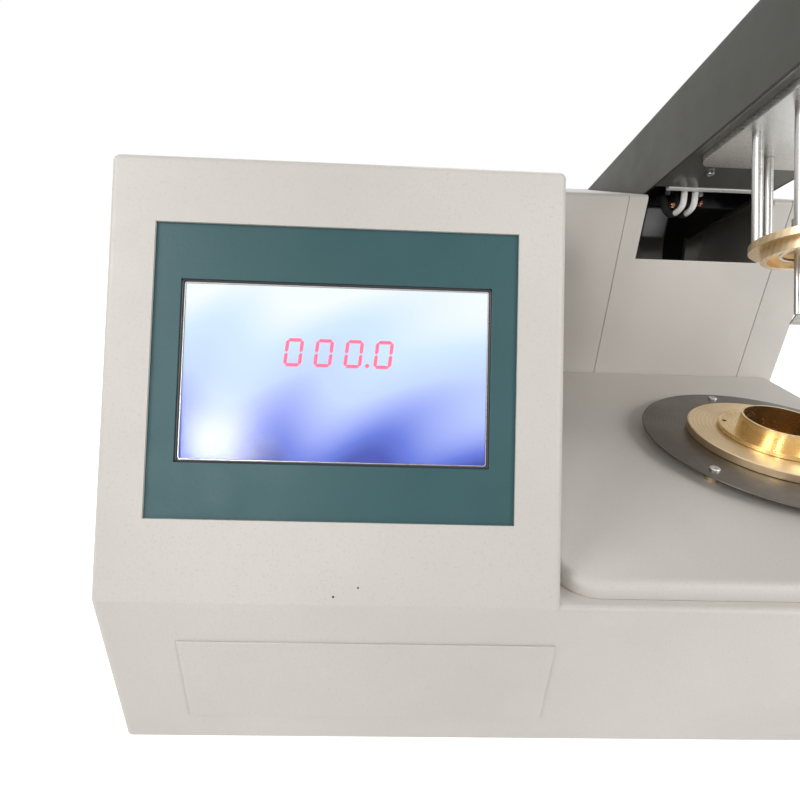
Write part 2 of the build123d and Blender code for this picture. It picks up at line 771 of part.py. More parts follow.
def seat_ring():
    """Brass top plate of the bath, which the cup's flange rests on."""
    ring = tube(STOVE_X, STOVE_Y, (SEAT_Z, SEAT_Z + SEAT_T), SEAT_R, CUP_R + CUP_SIDE_PLAY)
    return chamfer(ring.edges().filter_by(GeomType.CIRCLE).group_by(Axis.Z)[-1], EDGE_BREAK)


def air_bath():
    """Thick metal cup that heats the test cup through an air gap."""
    bath = drum(STOVE_X, STOVE_Y, (BATH_BOTTOM, SEAT_Z), BATH_R)
    return bath - drum(STOVE_X, STOVE_Y, (BATH_FLOOR, SEAT_Z + 1), BATH_BORE_R)


def band_heater():
    """Band heater, split at the back where its clamp closes."""
    z = (BATH_BOTTOM + HEATER_RISE, BATH_BOTTOM + HEATER_RISE + HEATER_H)
    band = tube(STOVE_X, STOVE_Y, z, BATH_R + HEATER_T, BATH_R)
    split_x = (STOVE_X - HEATER_SPLIT / 2, STOVE_X + HEATER_SPLIT / 2)
    split_y = (STOVE_Y + BATH_R - 1, STOVE_Y + BATH_R + 2 * HEATER_T)
    return band - block(split_x, split_y, (z[0] - 1, z[1] + 1))


def bath_insulation():
    """Insulating sleeve round the heater."""
    inner = BATH_R + HEATER_T + JACKET_AIR
    z = (BATH_BOTTOM + GAP, DECK_Z - SHEET - GAP)
    return tube(STOVE_X, STOVE_Y, z, inner + JACKET_T, inner)


def bath_stand():
    """Welded stand: a round plate on four columns from the base tray."""
    stand = drum(STOVE_X, STOVE_Y, (BATH_BOTTOM - STAND_T, BATH_BOTTOM), STAND_R)
    for index in range(COLUMN_COUNT):
        angle = 360 * (index + 0.5) / COLUMN_COUNT
        stand += drum(*polar(COLUMN_CIRCLE_R, angle), (INNER_FLOOR, BATH_BOTTOM - STAND_T), COLUMN_R)
    return stand


def test_cup():
    """Standard flanged cup with its filling mark groove, and its rim as a solid on the flange."""
    flange_top = FLANGE_Z + CUP_FLANGE_T
    cup = drum(STOVE_X, STOVE_Y, (CUP_BOTTOM, flange_top), CUP_R)
    cup += drum(STOVE_X, STOVE_Y, (FLANGE_Z, flange_top), CUP_FLANGE_R)
    cup -= drum(STOVE_X, STOVE_Y, (CUP_BOTTOM + CUP_FLOOR_T, flange_top + 1), CUP_BORE_R)
    mark = RIM_Z - CUP_MARK_DEPTH
    cup -= drum(STOVE_X, STOVE_Y, (mark - CUP_MARK_CUT, mark), CUP_BORE_R + CUP_MARK_CUT)
    through = (FLANGE_Z - 1, flange_top + 1)
    for angle in CUP_PIN_ANGLES:
        cup -= drum(*polar(CUP_FLANGE_R - CUP_PIN_INSET, angle), through, CUP_PIN_HOLE_R)
    return group(cup, tube(STOVE_X, STOVE_Y, (flange_top, RIM_Z), CUP_R, CUP_BORE_R))


# ------------------------------------------------------------------------------- tower and hinge
def tower_cover():
    """Front and top of the tower in one folded sheet, with the notch that the arm passes."""
    x = (TOWER_LEFT + SEAM, TOWER_RIGHT - SEAM)
    low = DECK_Z + SLIP

    def body(wall, spare):
        high = WALL_TOP - wall
        solid = block((x[0] + wall, x[1] - wall), (WALL_Y + wall, CABINET_D + spare), (low - spare, high))
        return rounded(solid, BEND_R - wall, lambda c: abs(c.Y - WALL_Y - wall) < 0.1 and c.Z > high - 0.1)

    cover = body(0, 0) - body(SHEET, 5)
    cover -= block((x[0] - 1, x[1] + 1), (WALL_Y + LIP_DEPTH, CABINET_D + 1), (low - 1, WALL_TOP - SHEET))
    notch = (STOVE_X - NOTCH_W / 2, STOVE_X + NOTCH_W / 2)
    cover -= block(notch, (WALL_Y - 1, CABINET_D - SLOT_BACK), (DECK_Z + SILL_RISE, WALL_TOP + 1))
    return cover


def hinge_bracket():
    """Left upright of the arm's hinge, with a bore for its bush and a foot."""
    x = (STOVE_X - BRACKET_X - BRACKET_T, STOVE_X - BRACKET_X)
    y = (HINGE_Y - BRACKET_D / 2, HINGE_Y + BRACKET_D / 2)
    top = HINGE_Z + BRACKET_TOP
    plate = block(x, y, (INNER_FLOOR, top))
    plate = rounded(plate, BRACKET_CORNER_R, lambda c: c.Z > top - 1 and (c.Y < y[0] + 1 or c.Y > y[1] - 1))
    plate += block((x[0] - BRACKET_FOOT, x[1]), y, (INNER_FLOOR, INNER_FLOOR + BRACKET_T))
    return plate - rod_x((x[0] - 1, x[1] + 1), HINGE_Y, HINGE_Z, BUSH_R)


def hinge_brackets():
    """Both uprights of the hinge."""
    left = hinge_bracket()
    return group(left, mirrored_x(left))


def shaft_bushes():
    """Flanged bronze bushes in the uprights."""
    inner = STOVE_X - BRACKET_X
    bush = rod_x((inner - BRACKET_T, inner), HINGE_Y, HINGE_Z, BUSH_R)
    bush += rod_x((inner, inner + BUSH_FLANGE_T), HINGE_Y, HINGE_Z, BUSH_FLANGE_R)
    bush -= rod_x((inner - BRACKET_T - 1, inner + BUSH_FLANGE_T + 1), HINGE_Y, HINGE_Z, HINGE_R + RUN)
    return group(bush, mirrored_x(bush))


def lift_gearmotor():
    """Worm gearbox on the left upright, with its motor hanging below."""
    right = STOVE_X - BRACKET_X - BRACKET_T
    x = (right - GEARBOX_W, right)
    y = (HINGE_Y - GEARBOX_D / 2, HINGE_Y + GEARBOX_D / 2)
    z = (HINGE_Z - GEARBOX_H / 2, HINGE_Z + GEARBOX_H / 2)
    box = block(x, y, z)
    middle = (x[0] + x[1]) / 2
    box = rounded(box, GEARBOX_CORNER_R, lambda c: abs(c.X - middle) < 1)
    worm_y = y[0] + DRIVE_MOTOR_R
    box += drum(middle, worm_y, (z[0] - DRIVE_MOTOR_H, z[0]), DRIVE_MOTOR_R)
    return box - rod_x((x[0] - 1, x[1] + 1), HINGE_Y, HINGE_Z, HINGE_R + RUN)


# ------------------------------------------------------------------------------------------- arm
def arm_cover():
    """Folded channel over the arm: top, sides and a rounded nose, open below and behind."""
    def body(wall, spare):
        x = (ARM_LEFT + wall, ARM_RIGHT - wall)
        y = (ARM_FRONT + wall, ARM_BACK + spare)
        z = (UNDER_Z - spare, ARM_TOP - wall)
        solid = block(x, y, z)
        front = lambda c: abs(c.Y - y[0]) < 0.1 and abs(c.Z - z[1]) < 0.1
        solid = rounded(solid, ARM_NOSE_R - wall, front)
        middle = (x[0] + x[1]) / 2
        sides = [e for e in solid.edges() if abs(abs(e.center().X - middle) - (x[1] - x[0]) / 2) < 0.1]
        low = z[0] + 1
        sides = [e for e in sides if e.center().Z > low and e.center().Y < y[1] - 1]
        return fillet(sides, ARM_EDGE_R - wall)

    return body(0, 0) - body(ARM_SHEET, 5)


def arm_underplate():
    """Polished plate that closes the arm from below, in front of the tower."""
    inset = ARM_SHEET + SLIP
    x = (ARM_LEFT + inset, ARM_RIGHT - inset)
    y = (ARM_FRONT + inset, UNDERPLATE_END)
    plate = block(x, y, (UNDER_Z, UNDER_Z + UNDERPLATE_T))
    plate = fillet(plate.edges().filter_by(Axis.Z), ARM_EDGE_R - ARM_SHEET)
    plate -= drum(STOVE_X, STOVE_Y, (UNDER_Z - 1, UNDER_Z + 5), 2 * STIR_SHAFT_R)
    return plate - drum(STOVE_X, SPINDLE_Y, (UNDER_Z - 1, UNDER_Z + 5), 2 * SPINDLE_R)


def frame_side():
    """Left side plate of the arm's frame: a beam along the arm and a leg down to the hinge."""
    low = UNDER_Z + UNDERPLATE_T
    high = low + BEAM_H
    front = ARM_FRONT + 3 * ARM_NOSE_R / 2
    top = ARM_TOP - ARM_SHEET - FRAME_GAP
    boss = LEG_BOSS_R
    points = [(front, low), (LEG_FRONT, low), (HINGE_Y - boss, HINGE_Z), (HINGE_Y + boss, HINGE_Z),
              (ARM_BACK, top), (LEG_FRONT, top), (LEG_FRONT - BEAM_H, high), (front, high)]
    x = (STOVE_X - LEG_OUT, STOVE_X - LEG_OUT + FRAME_T)
    plate = across(x, outline(points))
    plate += rod_x(x, HINGE_Y, HINGE_Z, boss)
    for index in range(BEAM_HOLES):
        y = front + BEAM_HOLE_START + BEAM_HOLE_PITCH * index
        plate -= rod_x((x[0] - 1, x[1] + 1), y, (low + high) / 2, BEAM_HOLE_R)
    return plate - rod_x((x[0] - 1, x[1] + 1), HINGE_Y, HINGE_Z, HINGE_R)


def arm_frame():
    """Both side plates of the arm."""
    left = frame_side()
    return group(left, mirrored_x(left))


def arm_crossplate():
    """Upright plate that ties the two side plates together inside the arm, with a hole for each hose."""
    reach = LEG_OUT - FRAME_T
    x = (STOVE_X - reach, STOVE_X + reach)
    low = UNDER_Z + UNDERPLATE_T
    y = (CROSSPLATE_Y, CROSSPLATE_Y + FRAME_T)
    plate = block(x, y, (low, low + BEAM_H))
    for hose in range(HOSE_COUNT):
        plate -= rod_y(HOSE_X + HOSE_PITCH * hose, (y[0] - 1, y[1] + 1), low + HOSE_END_RISE, HOSE_R)
    return plate


def hinge_shaft():
    """Shaft through both legs, the bushes and the gearbox."""
    left = STOVE_X - BRACKET_X - BRACKET_T - GEARBOX_W - SHAFT_END_LEFT
    right = STOVE_X + BRACKET_X + BRACKET_T + SHAFT_END_RIGHT
    return rod_x((left, right), HINGE_Y, HINGE_Z, HINGE_R)


def shaft_collars():
    """Collars that keep the legs in the middle of the shaft."""
    outer = STOVE_X - BRACKET_X + BUSH_FLANGE_T + GAP
    inner = STOVE_X - LEG_OUT
    collar = rod_x((outer, inner), HINGE_Y, HINGE_Z, HINGE_R + COLLAR_T)
    collar -= rod_x((outer - 1, inner + 1), HINGE_Y, HINGE_Z, HINGE_R)
    return group(collar, mirrored_x(collar))


def hose_bar():
    """White strip across the end of the underside plate that guides the hoses."""
    x = (STOVE_X - HOSE_BAR_W / 2, STOVE_X + HOSE_BAR_W / 2)
    y = (UNDERPLATE_END, UNDERPLATE_END + HOSE_BAR_D)
    low = UNDER_Z - HOSE_BAR_DROP
    bar = block(x, y, (low, low + HOSE_BAR_H))
    return rounded(bar, HOSE_BAR_DROP, lambda c: c.Z < UNDER_Z)


def gas_hoses():
    """Two hoses that drop behind the bar, bend back and end in the cross plate."""
    low = UNDER_Z + UNDERPLATE_T
    y = UNDERPLATE_END + HOSE_BAR_D + HOSE_R + SLIP
    end = low + HOSE_END_RISE
    dip = UNDER_Z - HOSE_DIP
    back = CROSSPLATE_Y - HOSE_END_REACH
    tip = CROSSPLATE_Y + HOSE_END_REACH
    hoses = []
    for index in range(HOSE_COUNT):
        x = HOSE_X + HOSE_PITCH * index
        points = ((x, y, UNDER_Z + HOSE_TOP), (x, y, dip), (x, back, dip), (x, back, end), (x, tip, end))
        path = FilletPolyline(*points, radius=HOSE_BEND_R)
        profile = Plane(origin=path @ 0, z_dir=path % 0) * Circle(HOSE_R)
        hoses.append(sweep(profile, path=path))
    return group(*hoses)


# ------------------------------------------------------------------------------------------- head
def carrier_plate():
    """Plate under the arm that carries the lid on posts."""
    x = (STOVE_X - CARRIER_W / 2, STOVE_X + CARRIER_W / 2)
    y = (STOVE_Y - CARRIER_FRONT, STOVE_Y + CARRIER_BACK)
    plate = block(x, y, (CARRIER_Z, UNDER_Z))
    plate = fillet(plate.edges().filter_by(Axis.Z), CARRIER_CORNER_R)
    plate -= drum(STOVE_X, STOVE_Y, (CARRIER_Z - 1, UNDER_Z + 1), 2 * STIR_SHAFT_R)
    return plate - drum(STOVE_X, SPINDLE_Y, (CARRIER_Z - 1, UNDER_Z + 1), SPINDLE_R + RUN)


def carrier_posts():
    """Posts between the carrier plate and the lid."""
    z = (LID_TOP, CARRIER_Z)
    return group(*[drum(*polar(POST_CIRCLE_R, a), z, POST_R) for a in POST_ANGLES])


def window(angle, z):
    """Opening that follows the lid's circle, between two radii."""
    half = WINDOW_SPAN / 2
    inner, outer = WINDOW_R
    low = math.radians(angle - half)
    high = math.radians(angle + half)
    ends = [(r * math.cos(a), r * math.sin(a)) for a in (low, high) for r in (inner, outer)]
    edges = [Line(ends[0], ends[1]), CenterArc((0, 0), outer, angle - half, WINDOW_SPAN),
             Line(ends[3], ends[2]), CenterArc((0, 0), inner, angle - half, WINDOW_SPAN)]
    face = make_face(edges)
    return Pos(STOVE_X, STOVE_Y, z[0]) * extrude(face, z[1] - z[0])


def window_angles(turn):
    """Directions of the openings, the middle one to the front."""
    middle = (WINDOW_COUNT - 1) / 2
    return [270.0 + turn + WINDOW_PITCH * (i - middle) for i in range(WINDOW_COUNT)]


def lid():
    """Brass lid with the shutter's hub, three openings, the probe's ferrule and a skirt ring below."""
    cover = drum(STOVE_X, STOVE_Y, (LID_Z, LID_TOP), LID_R)
    cover += drum(STOVE_X, STOVE_Y, (LID_TOP, LID_TOP + HUB_H), HUB_R)
    px, py = STOVE_X, STOVE_Y + PROBE_OFFSET
    ferrule_top = SHUTTER_TOP + FERRULE_H
    cover += drum(px, py, (LID_TOP, ferrule_top), PROBE_R + FERRULE_T)
    for angle in window_angles(0):
        cover -= window(angle, (LID_Z - 1, LID_TOP + 1))
    cover -= drum(px, py, (LID_Z - 1, ferrule_top + 1), PROBE_R)
    cover -= drum(STOVE_X, STOVE_Y, (LID_Z - 1, LID_TOP + HUB_H + 1), STIR_SHAFT_R + RUN)
    bore = CUP_R + SKIRT_PLAY
    skirt = tube(STOVE_X, STOVE_Y, (LID_Z - SKIRT_DEPTH, LID_Z), bore + SKIRT_T, bore)
    return group(cover, skirt)


def tooth_profile(teeth):
    """Half widths of a tooth, as angles in radians, at the root and the tip."""
    pitch = GEAR_MODULE * teeth / 2
    half = math.pi / (2 * teeth) - BACKLASH / (2 * pitch)
    slope = math.tan(math.radians(20))
    root = half + slope * 1.25 * GEAR_MODULE / pitch
    tip = half - slope * GEAR_MODULE / pitch
    return root, tip


def gear_outline(teeth, first, count, closing):
    """Points along count teeth, from the first tooth's direction in degrees, then closing points."""
    pitch = GEAR_MODULE * teeth / 2
    root, tip = tooth_profile(teeth)
    low = pitch - 1.25 * GEAR_MODULE
    high = pitch + GEAR_MODULE
    points = []
    for index in range(count):
        middle = math.radians(first) + index * 2 * math.pi / teeth
        for r, offset in ((low, -root), (high, -tip), (high, tip), (low, root)):
            points.append((r * math.cos(middle + offset), r * math.sin(middle + offset)))
    return points + closing


def shutter_sector():
    """Toothed sector on the shutter's rear edge."""
    step = 360.0 / SHUTTER_TEETH
    low, high = SECTOR_SPAN
    count = int((high - low) / step) + 1
    first = 90.0 - step * int((90.0 - low) / step)
    inner = SHUTTER_R - 2.0
    last = first + step * (count - 1)
    closing = [(inner * math.cos(math.radians(a)), inner * math.sin(math.radians(a)))
               for a in (last + 2, (first + last) / 2, first - 2)]
    face = outline(gear_outline(SHUTTER_TEETH, first, count, closing))
    return Pos(STOVE_X, STOVE_Y, SHUTTER_Z) * extrude(face, SHUTTER_T)


def shutter():
    """Brass shutter that turns on the lid's hub and uncovers the openings."""
    z = (SHUTTER_Z, SHUTTER_TOP)
    disc = drum(STOVE_X, STOVE_Y, z, SHUTTER_R) + shutter_sector()
    wide = (z[0] - 1, z[1] + 1)
    for angle in window_angles(-SHUTTER_TURN):
        disc -= window(angle, wide)
    room = PROBE_R + FERRULE_T + SLOT_PLAY
    reach = math.degrees(room / PROBE_OFFSET)
    arc = CenterArc((0, 0), PROBE_OFFSET, 90.0 - SHUTTER_TURN - reach, SHUTTER_TURN + 2 * reach)
    disc -= Pos(STOVE_X, STOVE_Y, wide[0]) * extrude(SlotArc(arc, 2 * room), wide[1] - wide[0])
    return disc - drum(STOVE_X, STOVE_Y, wide, HUB_R + RUN)


def shutter_retainer():
    """Ring on the hub that keeps the shutter down."""
    z = (SHUTTER_TOP + GAP, SHUTTER_TOP + GAP + RETAINER_T)
    return tube(STOVE_X, STOVE_Y, z, RETAINER_R, HUB_R)


def shutter_spindle():
    """Upright spindle with the pinion that turns the shutter."""
    step = 360.0 / PINION_TEETH
    face = outline(gear_outline(PINION_TEETH, -90.0 + step / 2, PINION_TEETH, []))
    pinion = Pos(STOVE_X, SPINDLE_Y, SHUTTER_Z) * extrude(face, PINION_H)
    return pinion + drum(STOVE_X, SPINDLE_Y, (SHUTTER_Z, UNDER_Z + SHAFT_POCKET / 2), SPINDLE_R)


def propeller(radius, depth):
    """Two twisted blades on a hub, at a depth below the cup's rim."""
    z = RIM_Z - depth
    half = PROPELLER_HUB_H / 2
    hub = drum(STOVE_X, STOVE_Y, (z - half, z + half), STIR_SHAFT_R + PROPELLER_HUB_T)
    reach = radius - STIR_SHAFT_R
    blade = Pos(STIR_SHAFT_R + reach / 2, 0, 0) * Rot(BLADE_PITCH, 0, 0) * Box(reach, BLADE_W, BLADE_T)
    pair = blade + Rot(0, 0, 180) * blade
    return hub + Pos(STOVE_X, STOVE_Y, z) * pair


def stirrer():
    """Stirrer shaft with its two propellers."""
    top = CARRIER_Z - COUPLING_DROP
    shaft = drum(STOVE_X, STOVE_Y, (RIM_Z - STIR_LOW_DEPTH, UNDER_Z + SHAFT_POCKET - 2), STIR_SHAFT_R)
    shaft += drum(STOVE_X, STOVE_Y, (top - COUPLING_H, top), 2 * STIR_SHAFT_R)
    return shaft + propeller(STIR_LOW_R, STIR_LOW_DEPTH) + propeller(STIR_HIGH_R, STIR_HIGH_DEPTH)


def geared_can(x, y, r, h, bore):
    """Motor can on the underside plate, hollow where the driven shaft ends."""
    z = (UNDER_Z + UNDERPLATE_T, UNDER_Z + UNDERPLATE_T + h)
    can = drum(x, y, z, r)
    can = chamfer(can.edges().group_by(Axis.Z)[-1], MOTOR_EDGE)
    return can - drum(x, y, (z[0] - 1, z[0] + SHAFT_POCKET), bore)


def stirrer_motor():
    """Motor that turns the stirrer."""
    return geared_can(STOVE_X, STOVE_Y, MOTOR_R, MOTOR_H, STIR_SHAFT_R + 1)


def shutter_motor():
    """Small geared motor that turns the shutter's spindle."""
    return geared_can(STOVE_X, SPINDLE_Y, SERVO_R, SERVO_H, SPINDLE_R + 1)


def temperature_probe():
    """Platinum probe through the lid's ferrule, with its grip head."""
    x, y = STOVE_X, STOVE_Y + PROBE_OFFSET
    grip = SHUTTER_TOP + FERRULE_H
    rod = drum(x, y, (RIM_Z - PROBE_DEPTH, grip + PROBE_GRIP_H + PROBE_TAIL), PROBE_R)
    return rod + drum(x, y, (grip, grip + PROBE_GRIP_H), PROBE_R + PROBE_GRIP_T)


def flash_detector():
    """Detector ring under the lid on two short pins."""
    z = LID_Z - RING_DROP
    span = (z - RING_WIRE_R, z + RING_WIRE_R)
    ring = tube(STOVE_X, STOVE_Y, span, RING_R + RING_WIRE_R, RING_R - RING_WIRE_R)
    for angle in (0.0, 180.0):
        ring += drum(*polar(RING_R, angle), (z, LID_Z), RING_PIN_R)
    return ring


def pivot_y():
    """Place of the igniter's pivot in front of the cup's axis."""
    return STOVE_Y - PIVOT_OFFSET


def igniter_bracket():
    """Fork on the lid that holds the igniter's pin."""
    half = FORK_W / 2
    y = (pivot_y() - FORK_FRONT, pivot_y() + FORK_BACK)
    x = (STOVE_X - half, STOVE_X + half)
    ear = block((x[0], x[0] + FORK_EAR_T), y, (LID_TOP, LID_TOP + PIVOT_RISE + FORK_TOP))
    fork = ear + mirrored_x(ear) + block(x, y, (LID_TOP, LID_TOP + FORK_EAR_T))
    return fork + rod_x(x, pivot_y(), LID_TOP + PIVOT_RISE, PIVOT_PIN_R)


def igniter():
    """Igniter nozzle that dips into the middle opening."""
    y = pivot_y()
    z = LID_TOP + PIVOT_RISE
    nozzle = rod_x((STOVE_X - PIVOT_HUB_W / 2, STOVE_X + PIVOT_HUB_W / 2), y, z, PIVOT_HUB_R)
    nozzle += rod_y(STOVE_X, (y, y + NOZZLE_L), z, NOZZLE_R)
    nozzle += rod_y(STOVE_X, (y - NOZZLE_TAIL, y), z, NOZZLE_R + NOZZLE_TAIL_T)
    return nozzle - rod_x((STOVE_X - FORK_W, STOVE_X + FORK_W), y, z, PIVOT_PIN_R + RUN)


# ------------------------------------------------------------------------------------ back panel
def ring_of_holes(radius, count, start=45.0):
    """Points on a circle, as (x, z) offsets."""
    angles = [math.radians(start + 360.0 * i / count) for i in range(count)]
    return [(radius * math.cos(a), radius * math.sin(a)) for a in angles]


def fan_frame():
    """Square frame of the cooling fan, inside the back panel, with its motor seat on four arms."""
    half = FAN_SIZE / 2
    y = (BACK_FACE - FAN_T, BACK_FACE)
    through = (y[0] - 1, y[1] + 1)
    frame = block((FAN_X - half, FAN_X + half), y, (FAN_Z - half, FAN_Z + half))
    frame = fillet(frame.edges().filter_by(Axis.Y), FAN_CORNER_R)
    frame -= rod_y(FAN_X, through, FAN_Z, FAN_BORE_R)
    seat = (y[0], y[0] + FAN_SEAT_T)
    frame += rod_y(FAN_X, seat, FAN_Z, FAN_HUB_R)
    for angle in (45.0, 135.0):
        arm = Box(2 * (FAN_BORE_R + 1), FAN_SEAT_T, FAN_SEAT_T)
        frame += Pos(FAN_X, (seat[0] + seat[1]) / 2, FAN_Z) * Rot(0, angle, 0) * arm
    frame += rod_y(FAN_X, (seat[1], seat[1] + FAN_PIN_L), FAN_Z, FAN_PIN_R)
    for x, z in ring_of_holes((half - FAN_HOLE_INSET) * math.sqrt(2), 4):
        frame -= rod_y(FAN_X + x, through, FAN_Z + z, FAN_HOLE_R)
    return frame


def fan_rotor():
    """Rotor of the cooling fan with its pitched blades."""
    y = (BACK_FACE - FAN_T + FAN_SEAT_T + 2 * GAP, BACK_FACE - FAN_FRONT_PLAY)
    middle = (y[0] + y[1]) / 2
    rotor = rod_y(FAN_X, y, FAN_Z, FAN_HUB_R - 1)
    root = FAN_HUB_R - 3
    reach = FAN_BORE_R - FAN_TIP_PLAY - root
    blade = Pos(root + reach / 2, 0, 0) * Rot(FAN_BLADE_PITCH, 0, 0) * Box(reach, FAN_BLADE_T, FAN_BLADE_W)
    for index in range(FAN_BLADES):
        rotor += Pos(FAN_X, middle, FAN_Z) * Rot(0, 360.0 * index / FAN_BLADES, 0) * blade
    return rotor - rod_y(FAN_X, (y[0] - 1, y[0] + FAN_PIN_L + 1), FAN_Z, FAN_PIN_R + RUN)


def fan_guard():
    """Guard over the fan's opening: flat rings on two crossing bars with a screw pad at each end."""
    low = CABINET_D + GUARD_RISE - GUARD_WIRE / 2
    y = (low, low + GUARD_WIRE)
    corner = (FAN_SIZE / 2 - FAN_HOLE_INSET) * math.sqrt(2)
    bar = Box(2 * corner, GUARD_WIRE, GUARD_WIRE)
    guard = Pos(FAN_X, (y[0] + y[1]) / 2, FAN_Z) * (Rot(0, 45.0, 0) * bar + Rot(0, 135.0, 0) * bar)
    for index in range(GUARD_RINGS):
        r = GUARD_FIRST_R + GUARD_STEP * index
        ring = rod_y(FAN_X, y, FAN_Z, r + GUARD_WIRE / 2)
        guard += ring - rod_y(FAN_X, (y[0] - 1, y[1] + 1), FAN_Z, r - GUARD_WIRE / 2)
    for x, z in ring_of_holes(corner, 4):
        guard += rod_y(FAN_X + x, (CABINET_D, y[1] + 1), FAN_Z + z, GUARD_PAD_R)
    return guard


def fitting_box(x, w, h, rim, depth, out):
    """Snap-in housing through the back panel with a rim outside it."""
    body = plate_cut(x, w, h, (BACK_FACE - depth, CABINET_D))
    flange = plate_cut(x, w + 2 * rim, h + 2 * rim, (CABINET_D, CABINET_D + out))
    return body + fillet(flange.edges().filter_by(Axis.Y), rim * 0.8)


def power_inlet():
    """Mains inlet with its three blades in a deep recess."""
    inlet = fitting_box(INLET_X, INLET_W, INLET_H, INLET_RIM, INLET_DEPTH, INLET_OUT)
    floor = CABINET_D - INLET_RECESS
    recess = (floor, CABINET_D + INLET_OUT + 1)
    inlet -= plate_cut(INLET_X, INLET_W - 2 * INLET_WALL, INLET_H - 2 * INLET_WALL, recess)
    w, h = BLADE_SIZE
    low, high = BLADE_STAGGER
    for x, z in ((-BLADE_SPREAD, low), (0.0, high), (BLADE_SPREAD, low)):
        blade = block((x - w / 2, x + w / 2), (floor - 1, CABINET_D), (z - h / 2, z + h / 2))
        inlet += Pos(INLET_X, 0, FITTING_Z) * blade
    return inlet


def switch_opening():
    """Width and height of the space that the rocker sits in."""
    return SWITCH_W - 2 * SWITCH_WALL, SWITCH_H - 2 * SWITCH_WALL


def switch_housing():
    """Housing of the power switch, open for its rocker, with the rocker's pin."""
    housing = fitting_box(SWITCH_X, SWITCH_W, SWITCH_H, SWITCH_RIM, SWITCH_DEPTH, SWITCH_RIM)
    w, h = switch_opening()
    housing -= plate_cut(SWITCH_X, w, h, (CABINET_D - SWITCH_RECESS, CABINET_D + SWITCH_RIM + 1))
    x = (SWITCH_X - w / 2, SWITCH_X + w / 2)
    return housing + rod_x(x, CABINET_D - ROCKER_PIN_DEPTH, FITTING_Z, ROCKER_PIN_R)


def power_rocker():
    """Rocker that tips on the housing's pin, its two faces each a swing off level."""
    z = FITTING_Z
    root = CABINET_D - ROCKER_BACK
    crown = CABINET_D + ROCKER_CROWN
    end = crown - ROCKER_REACH * math.tan(math.radians(ROCKER_SWING))
    points = [(root, z - ROCKER_ROOT), (end, z - ROCKER_REACH), (crown, z), (end, z + ROCKER_REACH),
              (root, z + ROCKER_ROOT)]
    half = switch_opening()[0] / 2 - GAP
    rocker = across((SWITCH_X - half, SWITCH_X + half), outline(points))
    bore = (SWITCH_X - half - 1, SWITCH_X + half + 1)
    return rocker - rod_x(bore, CABINET_D - ROCKER_PIN_DEPTH, z, ROCKER_PIN_R + RUN)


def fuse_holder():
    """Round fuse holder through the back panel."""
    body = rod_y(FUSE_X, (BACK_FACE - FUSE_DEPTH, CABINET_D), FITTING_Z, FUSE_R)
    body += rod_y(FUSE_X, (CABINET_D, CABINET_D + FUSE_RIM_T), FITTING_Z, FUSE_R + FUSE_RIM)
    pocket = (CABINET_D - FUSE_POCKET, CABINET_D + FUSE_RIM_T + 1)
    return body - rod_y(FUSE_X, pocket, FITTING_Z, FUSE_R - FUSE_WALL)


def fuse_cap():
    """Bayonet cap of the fuse holder, with a screwdriver slot."""
    seat = CABINET_D + FUSE_RIM_T + GAP
    top = seat + FUSE_CAP_T - GAP
    cap = rod_y(FUSE_X, (CABINET_D - FUSE_POCKET + 1, seat), FITTING_Z, FUSE_R - FUSE_WALL - RUN)
    cap += rod_y(FUSE_X, (seat, top), FITTING_Z, FUSE_R + FUSE_CAP_RIM)
    x = (FUSE_X - FUSE_SLOT_L / 2, FUSE_X + FUSE_SLOT_L / 2)
    z = (FITTING_Z - FUSE_SLOT_W / 2, FITTING_Z + FUSE_SLOT_W / 2)
    return cap - block(x, (top - FUSE_SLOT_DEPTH, top + 1), z)


def gas_inlet():
    """Gas stub with its nut face and a nut inside the panel."""
    y = (BACK_FACE - GAS_INSIDE, CABINET_D + GAS_STUB)
    stub = rod_y(GAS_X, y, GAS_Z, GAS_R)
    nut = extrude(Plane.XZ * RegularPolygon(NUT_R, 6), NUT_T)
    stub += Pos(GAS_X, CABINET_D + NUT_T, GAS_Z) * nut
    stub += Pos(GAS_X, BACK_FACE, GAS_Z) * nut
    return stub - rod_y(GAS_X, (y[0] - 1, y[1] + 1), GAS_Z, GAS_BORE_R)


def valve_stem():
    """Depth span of the needle valve's stem outside the panel."""
    start = CABINET_D + VALVE_COLLAR
    return start, start + STEM_L


def needle_valve():
    """Needle valve body inside the panel with its stem pointing out."""
    half = VALVE_BODY / 2
    x = (VALVE_X - half, VALVE_X + half)
    body = block(x, (BACK_FACE - VALVE_BODY_D, BACK_FACE), (GAS_Z - half, GAS_Z + half))
    body += rod_y(VALVE_X, (BACK_FACE, CABINET_D + VALVE_COLLAR), GAS_Z, VALVE_R)
    return body + rod_y(VALVE_X, valve_stem(), GAS_Z, STEM_R)


def gas_knob():
    """Fluted knob on the valve's stem."""
    start, end = valve_stem()
    y = (start + GAP, start + GAP + KNOB_H)
    knob = rod_y(VALVE_X, y, GAS_Z, KNOB_R)
    for x, z in ring_of_holes(KNOB_R + KNOB_FLUTE_R / 2, KNOB_FLUTES):
        knob -= rod_y(VALVE_X + x, (y[0] - 1, y[1] + 1), GAS_Z + z, KNOB_FLUTE_R)
    return knob - rod_y(VALVE_X, (y[0] - 1, end + GAP), GAS_Z, STEM_R + RUN)


def panel_screws():
    """Screws round the back panel's edge."""
    left = COVER_SCREW_INSET
    right = CABINET_W - COVER_SCREW_INSET
    step = CONSOLE_W - COVER_SCREW_INSET
    low = COVER_SCREW_LOW
    high = CONSOLE_TOP - COVER_SCREW_INSET
    middle = (low + high) / 2
    places = [(left, low), (left, middle), (left, high), (step, high), (right, low), (right, middle),
              (right, WALL_TOP - COVER_SCREW_INSET), (CABINET_W / 2, low)]
    return group(*[rod_y(x, (CABINET_D, CABINET_D + COVER_SCREW_H), z, COVER_SCREW_R) for x, z in places])


